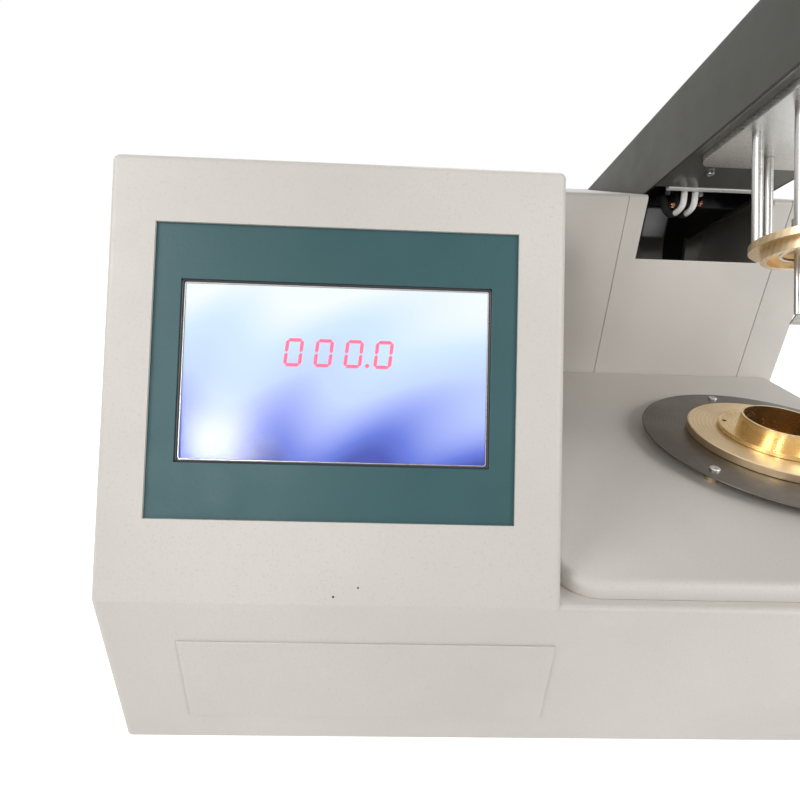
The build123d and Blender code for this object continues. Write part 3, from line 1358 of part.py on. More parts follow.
def valve_block():
    """Bright gas valve block that shows through the notch, on its shelf from the back panel."""
    x = (STOVE_X - VALVE_BLOCK_W / 2, STOVE_X + VALVE_BLOCK_W / 2)
    low = DECK_Z + VALVE_BLOCK_RISE
    valve = block(x, (VALVE_BLOCK_Y, VALVE_BLOCK_Y + VALVE_BLOCK_D), (low, low + VALVE_BLOCK_H))
    valve = rounded(valve, VALVE_BLOCK_CORNER_R, lambda c: abs(c.Z - low - VALVE_BLOCK_H / 2) < 1)
    shelf = (x[0] + SHELF_INSET, x[1] - SHELF_INSET)
    valve += block(shelf, (VALVE_BLOCK_Y + SHELF_T, BACK_FACE), (low - SHELF_T, low))
    return valve + block(shelf, (BACK_FACE - SHELF_T, BACK_FACE), (low - SHELF_FLANGE, low))


# ----------------------------------------------------------------------------------------- export
FIXED = (cabinet_shell, front_hatch, bottom_plate, rear_panel, rubber_feet, foot_screws,
         screen_bezel, lcd_frame, touch_glass, lcd_panel, control_board, power_supply,
         deck_pad, stove_spacers, stove_plate, stove_screws, seat_ring, air_bath, band_heater,
         bath_insulation, bath_stand, test_cup, tower_cover, hinge_brackets,
         shaft_bushes, lift_gearmotor, fan_frame, fan_rotor, fan_guard, power_inlet,
         switch_housing, power_rocker, fuse_holder, fuse_cap, gas_inlet, needle_valve, gas_knob,
         panel_screws, valve_block)
TILTED = (arm_cover, arm_underplate, arm_frame, arm_crossplate, hinge_shaft,
          shaft_collars, hose_bar, gas_hoses, carrier_plate, carrier_posts, lid, shutter,
          shutter_retainer, shutter_spindle, stirrer, stirrer_motor, shutter_motor,
          temperature_probe, flash_detector, igniter_bracket, igniter)


def build():
    """All nodes in their resting places."""
    nodes = {make.__name__: HOME * make() for make in FIXED}
    nodes.update({make.__name__: HOME * RAISE * make() for make in TILTED})
    return nodes


def main():
    """Write one STEP file for each node."""
    os.makedirs("parts", exist_ok=True)
    for name, shape in build().items():
        export_step(shape, f"parts/{name}.step")


if __name__ == "__main__":
    main()
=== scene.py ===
import json
import math

import bmesh
import bpy
import numpy as np
from bpy.props import FloatProperty, FloatVectorProperty, StringProperty
from mathutils import Matrix, Vector

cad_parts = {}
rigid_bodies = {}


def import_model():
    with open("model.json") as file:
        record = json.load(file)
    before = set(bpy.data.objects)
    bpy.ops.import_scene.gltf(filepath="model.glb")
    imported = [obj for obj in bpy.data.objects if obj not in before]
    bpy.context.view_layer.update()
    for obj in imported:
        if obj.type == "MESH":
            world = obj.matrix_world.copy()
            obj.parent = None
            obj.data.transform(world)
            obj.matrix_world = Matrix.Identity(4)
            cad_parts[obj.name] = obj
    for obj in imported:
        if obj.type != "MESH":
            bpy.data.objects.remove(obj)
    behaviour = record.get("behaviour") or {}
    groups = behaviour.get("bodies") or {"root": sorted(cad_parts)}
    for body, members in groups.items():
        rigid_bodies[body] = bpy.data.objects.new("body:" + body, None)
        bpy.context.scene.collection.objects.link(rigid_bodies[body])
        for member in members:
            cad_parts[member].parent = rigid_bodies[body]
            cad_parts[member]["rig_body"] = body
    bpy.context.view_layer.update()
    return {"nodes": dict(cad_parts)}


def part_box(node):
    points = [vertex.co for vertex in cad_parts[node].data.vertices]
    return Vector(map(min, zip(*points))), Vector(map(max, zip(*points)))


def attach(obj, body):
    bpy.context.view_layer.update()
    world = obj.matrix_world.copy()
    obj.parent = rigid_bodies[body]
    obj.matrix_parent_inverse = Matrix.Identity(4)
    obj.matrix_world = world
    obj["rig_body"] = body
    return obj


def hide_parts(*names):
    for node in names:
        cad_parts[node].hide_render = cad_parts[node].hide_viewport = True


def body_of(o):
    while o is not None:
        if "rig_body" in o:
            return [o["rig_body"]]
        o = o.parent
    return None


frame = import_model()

bl_info = {
    "name": "Flash Point Tester",
    "version": (1, 0, 0),
    "blender": (4, 5, 0),
    "location": "View3D > Sidebar > Tester",
    "description": "Finishes and detail of a bench flash point tester, piece by piece",
    "category": "Object",
}

MM = 0.001

# ------------------------------------------------------------------ places read from the frame
CABINET_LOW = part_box("cabinet_shell")[0]
PLATE_LOW, PLATE_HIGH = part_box("stove_plate")
STOVE = Vector(((PLATE_LOW.x + PLATE_HIGH.x) / 2, (PLATE_LOW.y + PLATE_HIGH.y) / 2, 0.0))
DECK_Z = 110 * MM               # height of the cabinet's deck
LEAN = math.radians(26.3)       # the slanted panel's lean from upright
TILT = math.radians(25.5)       # the arm's tilt at rest
HINGE = Vector((STOVE.x, CABINET_LOW.y + 421 * MM, 150 * MM))

# The slanted panel's own frame: u to the right, v up the slope, w outwards
PANEL_ORIGIN = Vector((CABINET_LOW.x, CABINET_LOW.y, DECK_Z))
PANEL_V = Vector((0, math.sin(LEAN), math.cos(LEAN)))
PANEL_W = Vector((0, -math.cos(LEAN), math.sin(LEAN)))


def on_panel(u, v, w=0.0):
    """Point of the slanted panel, given in metres along and off it."""
    return PANEL_ORIGIN + Vector((u, 0, 0)) + PANEL_V * v + PANEL_W * w


# ------------------------------------------------------------------------------- settings
class StageSettings(bpy.types.PropertyGroup):
    """Camera, lamps and floor."""

    eye: FloatVectorProperty(
        name="Eye", description="Place of the camera", subtype="TRANSLATION", unit="LENGTH",
        default=(-0.13425, -0.44002, 0.30083))
    yaw: FloatProperty(
        name="Yaw", description="Turn of the view to the right", subtype="ANGLE", default=math.radians(1.85))
    pitch: FloatProperty(
        name="Pitch", description="Tilt of the view downwards", subtype="ANGLE", default=math.radians(23.98))
    roll: FloatProperty(
        name="Roll", description="Turn of the picture", subtype="ANGLE", default=math.radians(2.36))
    lens: FloatProperty(
        name="Lens", description="Focal length in millimetres on a 36 mm sensor", default=22.86)
    right_level: FloatProperty(
        name="Right lamp", description="Light on a surface facing the lamp on the right", default=0.52)
    left_level: FloatProperty(
        name="Left lamp", description="Light on a surface facing the lamp on the left", default=0.50)
    back_level: FloatProperty(
        name="Back lamp", description="Light on a surface facing the lamp behind", default=0.30)
    window_glow: FloatProperty(
        name="Window", description="Power of the small lamp that glints in the screen", unit="POWER",
        default=3.4)
    fill_level: FloatProperty(name="Fill", description="Strength of the even room light", default=0.22)
    floor_colour: FloatVectorProperty(
        name="Floor", description="Colour of the floor", subtype="COLOR", default=(0.86, 0.86, 0.86))


class PaintSettings(bpy.types.PropertyGroup):
    """Colours of the painted sheet."""

    cream: FloatVectorProperty(
        name="Cream", description="Powder coat of the cabinet", subtype="COLOR", default=(0.56, 0.53, 0.49))
    green: FloatVectorProperty(
        name="Green", description="Paint of the plate round the screen", subtype="COLOR",
        default=(0.0175, 0.070, 0.077))
    # The arm's paint is dark grey-olive, partly painted shade: darkened so that the arm's side reads as dark
    # as it does in shade
    arm: FloatVectorProperty(
        name="Arm", description="Paint of the arm", subtype="COLOR", default=(0.062, 0.062, 0.050))


class ScreenSettings(bpy.types.PropertyGroup):
    """Picture on the lit screen."""

    glow: FloatProperty(name="Glow", description="Strength of the lit picture", default=0.95)
    reading: StringProperty(name="Reading", description="Digits shown, with one point", default="000.0")
    digit_height: FloatProperty(
        name="Digit height", description="Height of a digit", unit="LENGTH", default=12.5 * MM)
    digit_pitch: FloatProperty(
        name="Digit pitch", description="From one digit to the next", unit="LENGTH", default=15.0 * MM)


class EdgeSettings(bpy.types.PropertyGroup):
    """Broken edges of the sheets and castings."""

    sheet: FloatProperty(
        name="Sheet edge", description="Rounding of folded and cut sheet", unit="LENGTH", default=0.35 * MM)
    casting: FloatProperty(
        name="Thick edge", description="Rounding of thick turned and cast pieces", unit="LENGTH",
        default=0.6 * MM)


class HoseSettings(bpy.types.PropertyGroup):
    """Gas hoses under the arm."""

    radius: FloatProperty(
        name="Radius", description="Outer radius of a hose", unit="LENGTH", default=2.7 * MM)
    sleeve: FloatProperty(
        name="Sleeve", description="Outer radius of the black sleeve at a hose's end", unit="LENGTH",
        default=3.3 * MM)


# --------------------------------------------------------------------------- node trees
class Tree:
    """A material's node tree, with short calls for the nodes that the finishes use."""

    def __init__(self, name):
        self.material = bpy.data.materials.new(name)
        self.material.use_nodes = True
        self.tree = self.material.node_tree
        self.tree.nodes.clear()
        self.output = self.tree.nodes.new("ShaderNodeOutputMaterial")
        self.shader = self.tree.nodes.new("ShaderNodeBsdfPrincipled")
        self.link(self.shader.outputs["BSDF"], self.output.inputs["Surface"])
        self.place = self.node("ShaderNodeTexCoord").outputs["Object"]

    def node(self, kind, **values):
        made = self.tree.nodes.new(kind)
        for key, value in values.items():
            setattr(made, key, value)
        return made

    def link(self, start, end):
        self.tree.links.new(start, end)

    def feed(self, socket, value):
        """Link a socket's value, or set a constant."""
        if isinstance(value, bpy.types.NodeSocket):
            self.link(value, socket)
        elif isinstance(value, (tuple, list)) and len(value) == 3 and socket.type == "RGBA":
            socket.default_value = (*value, 1.0)
        else:
            socket.default_value = value

    def maths(self, operation, a, b=0.0, c=0.0):
        made = self.node("ShaderNodeMath", operation=operation)
        for socket, value in zip(made.inputs, (a, b, c)):
            self.feed(socket, value)
        return made.outputs[0]

    def mapped(self, scale=(1, 1, 1), rotation=(0, 0, 0), location=(0, 0, 0)):
        made = self.node("ShaderNodeMapping")
        self.link(self.place, made.inputs["Vector"])
        made.inputs["Scale"].default_value = scale
        made.inputs["Rotation"].default_value = rotation
        made.inputs["Location"].default_value = location
        return made.outputs[0]

    def noise(self, scale, detail=3.0, rough=0.5, vector=None):
        made = self.node("ShaderNodeTexNoise")
        self.link(vector or self.place, made.inputs["Vector"])
        made.inputs["Scale"].default_value = scale
        made.inputs["Detail"].default_value = detail
        made.inputs["Roughness"].default_value = rough
        return made.outputs["Fac"]

    def cells(self, scale, feature="F1", randomness=1.0):
        made = self.node("ShaderNodeTexVoronoi", feature=feature)
        self.link(self.place, made.inputs["Vector"])
        made.inputs["Scale"].default_value = scale
        made.inputs["Randomness"].default_value = randomness
        return made.outputs["Distance"]

    def between(self, value, low, high, start=0.0, end=1.0):
        """Value's place between start and end, turned into one between low and high."""
        made = self.node("ShaderNodeMapRange")
        for socket, number in zip(made.inputs, (value, start, end, low, high)):
            self.feed(socket, number)
        return made.outputs[0]

    def mix(self, share, a, b):
        made = self.node("ShaderNodeMix", data_type="RGBA")
        self.feed(made.inputs["Factor"], share)
        self.feed(made.inputs[6], a)
        self.feed(made.inputs[7], b)
        return made.outputs[2]

    def ramp(self, value, stops):
        """Colours at places from 0 to 1."""
        made = self.node("ShaderNodeValToRGB")
        self.link(value, made.inputs[0])
        band = made.color_ramp
        while len(band.elements) < len(stops):
            band.elements.new(0.5)
        for element, (place, colour) in zip(band.elements, stops):
            element.position = place
            element.color = (*colour, 1.0)
        return made.outputs[0]

    def bump(self, height, strength, distance):
        made = self.node("ShaderNodeBump")
        self.link(height, made.inputs["Height"])
        made.inputs["Strength"].default_value = strength
        made.inputs["Distance"].default_value = distance
        return made.outputs[0]

    def surface(self, **values):
        """Set or link sockets of the shader by their names, with _ for a space."""
        for key, value in values.items():
            self.feed(self.shader.inputs[key.replace("_", " ")], value)
        return self.material


def shade(colour, factor):
    """The colour made lighter or darker."""
    return tuple(min(1.0, c * factor) for c in colour)


# ------------------------------------------------------------------------------ finishes
def powder_coat(name, colour, rough=0.5, grain=900.0, depth=0.05 * MM, gloss=0.5):
    """Sprayed and baked powder: an even colour with an orange-peel surface and faint handling marks."""
    t = Tree(name)
    large = t.noise(7.0, 4.0)
    fine = t.noise(grain, 2.0)
    peel = t.cells(grain * 0.8, "SMOOTH_F1")
    cloudy = t.mix(t.between(large, 0.0, 1.0, 0.3, 0.7), shade(colour, 0.94), shade(colour, 1.05))
    speckled = t.mix(t.between(fine, 0.0, 0.5, 0.55, 0.75), cloudy, shade(colour, 0.82))
    height = t.maths("ADD", t.maths("MULTIPLY", fine, 0.5), peel)
    rubbed = t.noise(38.0, 5.0, 0.65)
    roughness = t.between(rubbed, rough - 0.07, rough + 0.07, 0.3, 0.7)
    return t.surface(Base_Color=speckled, Roughness=roughness, Specular_IOR_Level=gloss,
                     Normal=t.bump(height, 0.55, depth))


def brushed(name, colour, rough=0.3, along=(1, 14, 14), grain=160.0, streak=0.12):
    """Metal sheet with fine lines along one direction."""
    t = Tree(name)
    lines = t.noise(grain, 4.0, 0.6, t.mapped(along))
    clouds = t.noise(22.0, 3.0)
    tone = t.mix(lines, shade(colour, 1 - streak), shade(colour, 1 + streak))
    stained = t.mix(t.between(clouds, 0.0, 0.3, 0.45, 0.8), tone, shade(colour, 0.72))
    roughness = t.between(lines, rough - 0.08, rough + 0.1, 0.3, 0.7)
    return t.surface(Base_Color=stained, Metallic=1.0, Roughness=roughness,
                     Normal=t.bump(lines, 0.18, 0.05 * MM))


def turned(name, colour, centre, rough):
    """Metal faced on a lathe: rings round the centre, 2 pi spread apart, stains and an uneven gloss."""
    spread, depth, stain = 0.45 * MM, 0.02 * MM, 0.75
    waves = 20      # the wave texture takes the sine of 20 times the scaled distance
    t = Tree(name)
    place = t.mapped(location=tuple(-c for c in centre))
    rings = t.node("ShaderNodeTexWave", wave_type="RINGS", rings_direction="Z", wave_profile="SIN")
    t.link(place, rings.inputs["Vector"])
    rings.inputs["Scale"].default_value = 1 / (spread * waves)
    rings.inputs["Distortion"].default_value = 0.6
    rings.inputs["Detail"].default_value = 2.0
    ring = rings.outputs["Fac"]
    clouds = t.noise(30.0, 5.0, 0.6, place)
    fine = t.noise(700.0, 2.0)
    tone = t.mix(ring, shade(colour, 0.93), shade(colour, 1.06))
    stained = t.mix(t.between(clouds, 0.0, 0.7, 0.45, 0.75), tone, shade(colour, stain))
    roughness = t.between(t.maths("ADD", t.maths("MULTIPLY", clouds, 0.7), t.maths("MULTIPLY", fine, 0.3)),
                          rough - 0.08, rough + 0.14, 0.3, 0.7)
    return t.surface(Base_Color=stained, Metallic=1.0, Roughness=roughness, Normal=t.bump(ring, 0.25, depth))


def moulded(name, colour, rough=0.42):
    """Moulded plastic with a fine spark-eroded texture."""
    t = Tree(name)
    grainy = t.noise(520.0, 3.0)
    large = t.noise(16.0, 2.0)
    tone = t.mix(large, shade(colour, 0.85), shade(colour, 1.15))
    roughness = t.between(grainy, rough - 0.08, rough + 0.08, 0.3, 0.7)
    return t.surface(Base_Color=tone, Roughness=roughness, Normal=t.bump(grainy, 0.35, 0.04 * MM))


def rubbery(name, colour):
    """Moulded rubber, matte, with dust in its pores."""
    t = Tree(name)
    pores = t.cells(650.0)
    dust = t.noise(60.0, 5.0)
    dust_colour = (0.16, 0.15, 0.14)
    tone = t.mix(t.between(dust, 0.0, 0.35, 0.5, 0.8), colour, dust_colour)
    return t.surface(Base_Color=tone, Roughness=0.82, Specular_IOR_Level=0.3,
                     Normal=t.bump(pores, 0.4, 0.1 * MM))


def clear_glass(name):
    """Thin matt touch glass with a faint smear."""
    t = Tree(name)
    smear = t.noise(24.0, 4.0)
    roughness = t.between(smear, 0.16, 0.21, 0.4, 0.8)
    return t.surface(Base_Color=(0.97, 0.985, 1.0), Roughness=roughness, IOR=1.45, Transmission_Weight=1.0)


def solder_mask(name):
    """Green circuit board with tinned pads in rows."""
    t = Tree(name)
    pads = t.cells(420.0, randomness=0.0)
    traces = t.noise(140.0, 2.0)
    green = t.mix(traces, (0.012, 0.10, 0.045), (0.02, 0.16, 0.07))
    pad_radius = 0.28
    tin = (0.55, 0.54, 0.5)
    tinned = t.maths("LESS_THAN", pads, pad_radius)
    return t.surface(Base_Color=t.mix(tinned, green, tin),
                     Metallic=t.maths("MULTIPLY", tinned, 0.8), Roughness=0.32)


def fibre(name, colour):
    """Pressed fibre jacket."""
    t = Tree(name)
    strands = t.noise(260.0, 6.0, 0.7, t.mapped((1, 1, 5)))
    tone = t.mix(strands, shade(colour, 0.7), shade(colour, 1.1))
    return t.surface(Base_Color=tone, Roughness=0.95, Normal=t.bump(strands, 0.7, 0.5 * MM))


def lit_picture(name, settings):
    """Plain background of the screen: pale blue deepening downwards, crossed by broad soft rings.

    u runs across and v up the picture, each 0 to 1. The rings are sine waves of the distance from a middle
    below the picture's right-hand end, with u stretched to v's scale.
    """
    middle_u, middle_v = 1.12, -0.45
    stretch = 1.73
    ripple = 11.0
    fall, rise = -0.06, 0.12
    t = Tree(name)
    turn = LEAN - math.pi / 2
    spun = Matrix.Rotation(turn, 3, "X") @ on_panel(*PICTURE_LOW)
    place = t.mapped(rotation=(turn, 0, 0), location=tuple(-c for c in spun))
    parts = t.node("ShaderNodeSeparateXYZ")
    t.link(place, parts.inputs[0])
    u = t.maths("DIVIDE", parts.outputs["X"], PICTURE_SIZE[0])
    v = t.maths("DIVIDE", parts.outputs["Y"], PICTURE_SIZE[1])
    across = t.maths("MULTIPLY", t.maths("SUBTRACT", middle_u, u), stretch)
    up = t.maths("SUBTRACT", v, middle_v)
    distance = t.maths("SQRT", t.maths("MULTIPLY_ADD", across, across, t.maths("MULTIPLY", up, up)))
    wave = t.maths("SINE", t.maths("MULTIPLY", distance, ripple))
    height = t.maths("ADD", v, t.between(wave, fall, rise, -1.0, 1.0))
    blue = t.ramp(height, [(0.0, (0.03, 0.06, 0.44)), (0.12, (0.10, 0.17, 0.74)), (0.28, (0.34, 0.42, 0.96)),
                           (0.46, (0.56, 0.70, 1.0)), (0.76, (0.66, 0.84, 1.0)), (1.0, (0.94, 1.0, 1.0))])
    return t.surface(Base_Color=(0.02, 0.02, 0.03), Roughness=0.25, Emission_Color=blue,
                     Emission_Strength=settings.glow)


def glowing_digits(name, colour, glow):
    """Lit digits of the reading."""
    t = Tree(name)
    soft = t.noise(900.0, 1.0)
    tone = t.mix(soft, shade(colour, 0.92), colour)
    return t.surface(Base_Color=(0.3, 0.05, 0.08), Roughness=0.5, Emission_Color=tone, Emission_Strength=glow)


FINISHES = {}


def finish(name):
    """A material by its name, made on first use."""
    if name not in FINISHES:
        paint = bpy.context.scene.tester_paint
        screen = bpy.context.scene.tester_screen
        centre = (STOVE.x, STOVE.y, 0.0)
        makers = {
            "cream": lambda: powder_coat("cream_powder_coat", tuple(paint.cream)),
            "green": lambda: powder_coat("green_enamel", tuple(paint.green), rough=0.42, grain=700.0,
                                         depth=0.07 * MM),
            # Arm paint: partly painted shade of the arm's shaded side
            "arm": lambda: powder_coat("arm_enamel", tuple(paint.arm), rough=0.40, grain=800.0,
                                       depth=0.03 * MM, gloss=0.35),
            "arm_gloss": lambda: powder_coat("arm_gloss_enamel", (0.125, 0.125, 0.115), rough=0.16,
                                             grain=500.0, depth=0.01 * MM, gloss=0.7),
            "steel": lambda: brushed("plain_steel", (0.52, 0.51, 0.49)),
            "zinc": lambda: brushed("zinc_plate", (0.58, 0.57, 0.54), rough=0.38, along=(1, 1, 1), grain=90.0,
                                    streak=0.2),
            # Blackened steel, partly painted shade: the arm's frame, cross plate, hinge brackets and
            # gearmotor are dark so that the throat under the arm reads as dark as it does in shade
            "dark_steel": lambda: brushed("blackened_steel_painted_shade", (0.09, 0.09, 0.09), rough=0.42, along=(1, 1, 1),
                                          grain=60.0, streak=0.25),
            "valve": lambda: brushed("valve_alloy", (0.12, 0.12, 0.12), rough=0.34),
            # Stove plate steel, far darker than plain steel, partly as painted reflection of the dark
            # surroundings its polished face takes in
            "stove": lambda: turned("stove_steel", (0.15, 0.134, 0.118), centre, rough=0.32),
            "brass": lambda: turned("turned_brass", (0.80, 0.63, 0.40), centre, rough=0.34),
            "cup": lambda: turned("cup_brass", (0.80, 0.60, 0.32), centre, rough=0.2),
            "cast": lambda: turned("bath_iron", (0.20, 0.195, 0.19), centre, rough=0.45),
            "aluminium": lambda: brushed("mill_aluminium", (0.68, 0.68, 0.67), along=(14, 1, 14)),
            "copper": lambda: turned("copper_fitting", (0.90, 0.50, 0.33), centre, rough=0.2),
            "black": lambda: moulded("black_moulding", (0.025, 0.025, 0.026)),
            "white": lambda: moulded("white_tube", (0.80, 0.80, 0.78), rough=0.3),
            "module": lambda: brushed("module_frame", (0.13, 0.12, 0.13), rough=0.45),
            "rubber": lambda: rubbery("foot_rubber", (0.025, 0.025, 0.025)),
            "glass": lambda: clear_glass("touch_glass_clear"),
            "board": lambda: solder_mask("solder_mask"),
            "fibre": lambda: fibre("fibre_jacket", (0.74, 0.70, 0.62)),
            "picture": lambda: lit_picture("lit_picture", screen),
            "digits": lambda: glowing_digits("lit_digits", (1.0, 0.13, 0.26), screen.glow),
        }
        FINISHES[name] = makers[name]()
    return FINISHES[name]


NODE_FINISH = {
    "cream": ("cabinet_shell", "front_hatch", "rear_panel", "deck_pad", "tower_cover", "bottom_plate"),
    "green": ("screen_bezel",),
    # arm: dark paint, partly painted shade
    "arm": ("arm_cover",),
    "arm_gloss": ("arm_underplate",),
    "steel": ("hinge_shaft", "shaft_collars", "bath_stand", "band_heater", "shutter_spindle", "stirrer",
              "temperature_probe", "flash_detector", "igniter_bracket", "igniter", "carrier_posts"),
    # dark_steel: partly painted shade of the throat under the arm
    "dark_steel": ("arm_frame", "arm_crossplate", "hinge_brackets", "lift_gearmotor"),
    "valve": ("valve_block",),
    "zinc": ("fan_guard", "panel_screws", "foot_screws", "stove_screws", "power_supply"),
    # stove: dark turned steel, partly painted reflection
    "stove": ("stove_plate",),
    "brass": ("stove_spacers", "seat_ring", "shaft_bushes", "lid", "shutter", "shutter_retainer", "gas_inlet",
              "needle_valve"),
    "cup": ("test_cup",),
    "cast": ("air_bath",),
    "aluminium": ("carrier_plate", "stirrer_motor", "shutter_motor"),
    "black": ("fan_frame", "fan_rotor", "power_inlet", "switch_housing", "power_rocker", "fuse_holder",
              "fuse_cap", "gas_knob"),
    "white": ("hose_bar", "gas_hoses"),
    "module": ("lcd_frame",),
    "glass": ("touch_glass",),
    "picture": ("lcd_panel",),
    "board": ("control_board",),
    "fibre": ("bath_insulation",),
    "rubber": ("rubber_feet",),
}


# Copies with broken edges stand for these
SHEETS = ("cabinet_shell", "front_hatch", "rear_panel", "screen_bezel", "lcd_frame", "tower_cover",
          "arm_cover", "arm_underplate", "hose_bar")
CASTINGS = ("deck_pad", "stove_plate", "seat_ring", "carrier_plate", "valve_block")

# Places on the slanted panel as (u, v), in metres
OPENING_U = (36.4 * MM, 190.4 * MM)
OPENING_V = (66.8 * MM, 156.8 * MM)
PICTURE_LOW = (37.5 * MM, 67.5 * MM)
PICTURE_SIZE = (152 * MM, 88 * MM)
READING_U = 114.4 * MM
READING_V = 122.4 * MM
GLINT = (58 * MM, 74 * MM)

# Lamps: name, the setting for their level, turn from the front and rise in degrees, and distance
LAMPS = (("right_lamp", "right_level", 48.0, 24.0, 1.9), ("left_lamp", "left_level", -60.0, 30.0, 1.8),
         ("back_lamp", "back_level", 165.0, 42.0, 2.2))
LAMP_TARGET = (0.0, 0.0, 0.2)
LAMP_SIZE = 0.9
WINDOW_SIZE = 0.17
WINDOW_DISTANCE = 1.5
FLOOR_REACH = 6.0

# Copies with broken edges: what is joined and flattened before, and which edges are rounded
JOIN_WITHIN = 0.005 * MM
FLAT_WITHIN = math.radians(0.3)
SMOOTH_WITHIN = math.radians(30)
ROUNDED_FROM = math.radians(50)

# The reading: a digit's width, stroke and slant as shares of its height, and the lift of its strokes
DIGIT_WIDTH = 0.58
STROKE_WIDTH = 0.14
STROKE_GAP = 0.25
SLANT = 0.10
POINT_LEFT = 0.05
POINT_DOWN = 0.46
STROKE_LIFT = 0.05 * MM
STROKE_SWELL = 0.12 * MM

# Ends of the seven strokes of a digit, as shares of its width and height, and the strokes of each digit
SEGMENTS = (((0, 1), (1, 1)), ((1, 1), (1, 0.5)), ((1, 0.5), (1, 0)), ((0, 0), (1, 0)), ((0, 0.5), (0, 0)),
            ((0, 1), (0, 0.5)), ((0, 0.5), (1, 0.5)))
LIT = ((0, 1, 2, 3, 4, 5), (1, 2), (0, 1, 3, 4, 6), (0, 1, 2, 3, 6), (1, 2, 5, 6), (0, 2, 3, 5, 6),
       (0, 2, 3, 4, 5, 6), (0, 1, 2), (0, 1, 2, 3, 4, 5, 6), (0, 1, 2, 3, 5, 6))

# Profiles round the screen's opening, as (outwards, up) in millimetres, and the corners' radii
# The gasket: a black ring, partly painted shadow along the edge of the opening
GASKET_SHADOW = ((-0.02, 0.0), (-0.55, 0.0), (-0.75, 0.25), (-0.7, 0.7), (-0.35, 0.95), (-0.02, 0.9))
GASKET_SHADOW_CORNER = 1.5 * MM
LINER = ((0.35, 0.0), (-0.02, 0.0), (-0.05, 0.12), (0.05, 0.22), (0.3, 0.22), (0.4, 0.1))
LINER_CORNER = 0.9 * MM
LINER_INSET = 1.55 * MM

# Turned profiles, as (radius, height) in millimetres
POINT = ((0, 0.17), (0.7, 0.15), (1.0, 0.10), (1.1, 0.03), (0.7, 0), (0, 0))
CHIP = ((0.0, 0.10), (0.22, 0.09), (0.42, 0.05), (0.55, 0.0), (0.3, -0.05), (0.0, -0.06))
SCREW_CAP = ((0, -0.1), (2.5, -0.1), (2.7, 0.3), (2.6, 1.0), (2.0, 1.6), (1.1, 1.9), (0, 2.0))
FERRULE = ((0, -0.1), (2.7, -0.1), (2.8, 0.2), (2.8, 2.2), (2.6, 2.5), (1.9, 2.6), (1.7, 3.0), (1.7, 4.4),
           (2.1, 4.7), (2.1, 5.6), (1.7, 6.0), (1.0, 6.1), (0.9, 5.2), (0, 5.1))
SOCKET_SCREW = ((0, -0.1), (2.9, -0.1), (3.0, 0.1), (3.0, 1.9), (2.8, 2.3), (1.9, 2.4), (1.7, 2.2),
                (1.6, 0.9), (0, 0.8))

# Paint chips: place on the panel in millimetres, and size
CHIPS = ((115.9, 4.0, 1.0), (127.8, 8.5, 0.9), (121.0, 6.0, 0.3))

# Places on the lowered arm, in millimetres from the cabinet's front left corner
SCREW_CAPS = ((411.9, 300, 251), (445.0, 300, 251))
FERRULES = ((409.2, 289.5, 233.6), (443.1, 300, 241.0))
SOCKET_SCREWS = ((408.0, 227.0, 236.8), (452.0, 227.0, 236.8), (408.0, 110.0, 236.8), (452.0, 110.0, 236.8))

# Hoses: X of each at the bar and at the cross plate, the white part's share, and the sleeve's lap over it
HOSE_ENDS = ((408.4, 403.5), (418.6, 414.5))
WHITE_SHARE = 0.47
SLEEVE_LAP = 2


# ------------------------------------------------------------------------- surface makers
def add_mesh(name, surface, material, body, crease=35.0):
    """One closed piece from arrays of points and faces: seams and poles joined, faces outwards, on a body."""
    points, faces = surface
    mesh = bpy.data.meshes.new(name)
    mesh.from_pydata(np.asarray(points, float).reshape(-1, 3), [], np.asarray(faces))
    work = bmesh.new()
    work.from_mesh(mesh)
    bmesh.ops.remove_doubles(work, verts=work.verts, dist=0.001 * MM)
    bmesh.ops.recalc_face_normals(work, faces=work.faces)
    work.to_mesh(mesh)
    work.free()
    mesh.validate()
    mesh.shade_smooth()
    mesh.set_sharp_from_angle(angle=math.radians(crease))
    mesh.materials.append(material)
    piece = bpy.data.objects.new(name, mesh)
    bpy.context.scene.collection.objects.link(piece)
    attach(piece, body)
    return piece


def grid_faces(rows, columns, wrap_rows=False, wrap_columns=False):
    """Quads of a grid of rows by columns, as an array of point numbers."""
    i = np.arange(rows if wrap_rows else rows - 1)
    j = np.arange(columns if wrap_columns else columns - 1)
    i, j = np.meshgrid(i, j, indexing="ij")
    i2 = (i + 1) % rows
    j2 = (j + 1) % columns
    quads = np.stack([i * columns + j, i * columns + j2, i2 * columns + j2, i2 * columns + j], axis=-1)
    return quads.reshape(-1, 4)


def merged(surfaces):
    """Several surfaces as one: the points in a row, and each surface's faces numbered on from the last."""
    starts = np.cumsum([0] + [len(points) for points, _ in surfaces])
    points = np.concatenate([points for points, _ in surfaces])
    faces = np.concatenate([faces + start for (_, faces), start in zip(surfaces, starts)])
    return points, faces


def lathe(profile, steps=36):
    """Profile of (radius, height) in millimetres turned once: (r cos a, r sin a, h)."""
    radius, height = np.asarray(profile, float).T * MM
    turn = np.linspace(0, 2 * math.pi, steps, endpoint=False)
    points = np.stack([np.outer(radius, np.cos(turn)), np.outer(radius, np.sin(turn)),
                       np.repeat(height[:, None], steps, axis=1)], axis=-1)
    return points.reshape(-1, 3), grid_faces(len(radius), steps, wrap_columns=True)


def aimed(surface, place, axis):
    """The surface with its Z turned to the axis and its origin moved to the place."""
    points, faces = surface
    turn = np.array(Vector((0, 0, 1)).rotation_difference(Vector(axis)).to_matrix())
    return points @ turn.T + np.array(place), faces


def smooth_line(corners, count=14):
    """Parabolas (1-t)^2 a + 2t(1-t) c + t^2 b from middle a to middle b of the runs at each corner c."""
    corners = np.asarray(corners, float)
    middles = (corners[:-1] + corners[1:]) / 2
    starts = np.concatenate([corners[:1], middles[1:-1]])
    ends = np.concatenate([middles[1:-1], corners[-1:]])
    t = np.linspace(0, 1, count, endpoint=False)[None, :, None]
    a, c, b = starts[:, None], corners[1:-1, None], ends[:, None]
    line = (1 - t) ** 2 * a + 2 * t * (1 - t) * c + t ** 2 * b
    return np.concatenate([line.reshape(-1, 3), corners[-1:]])


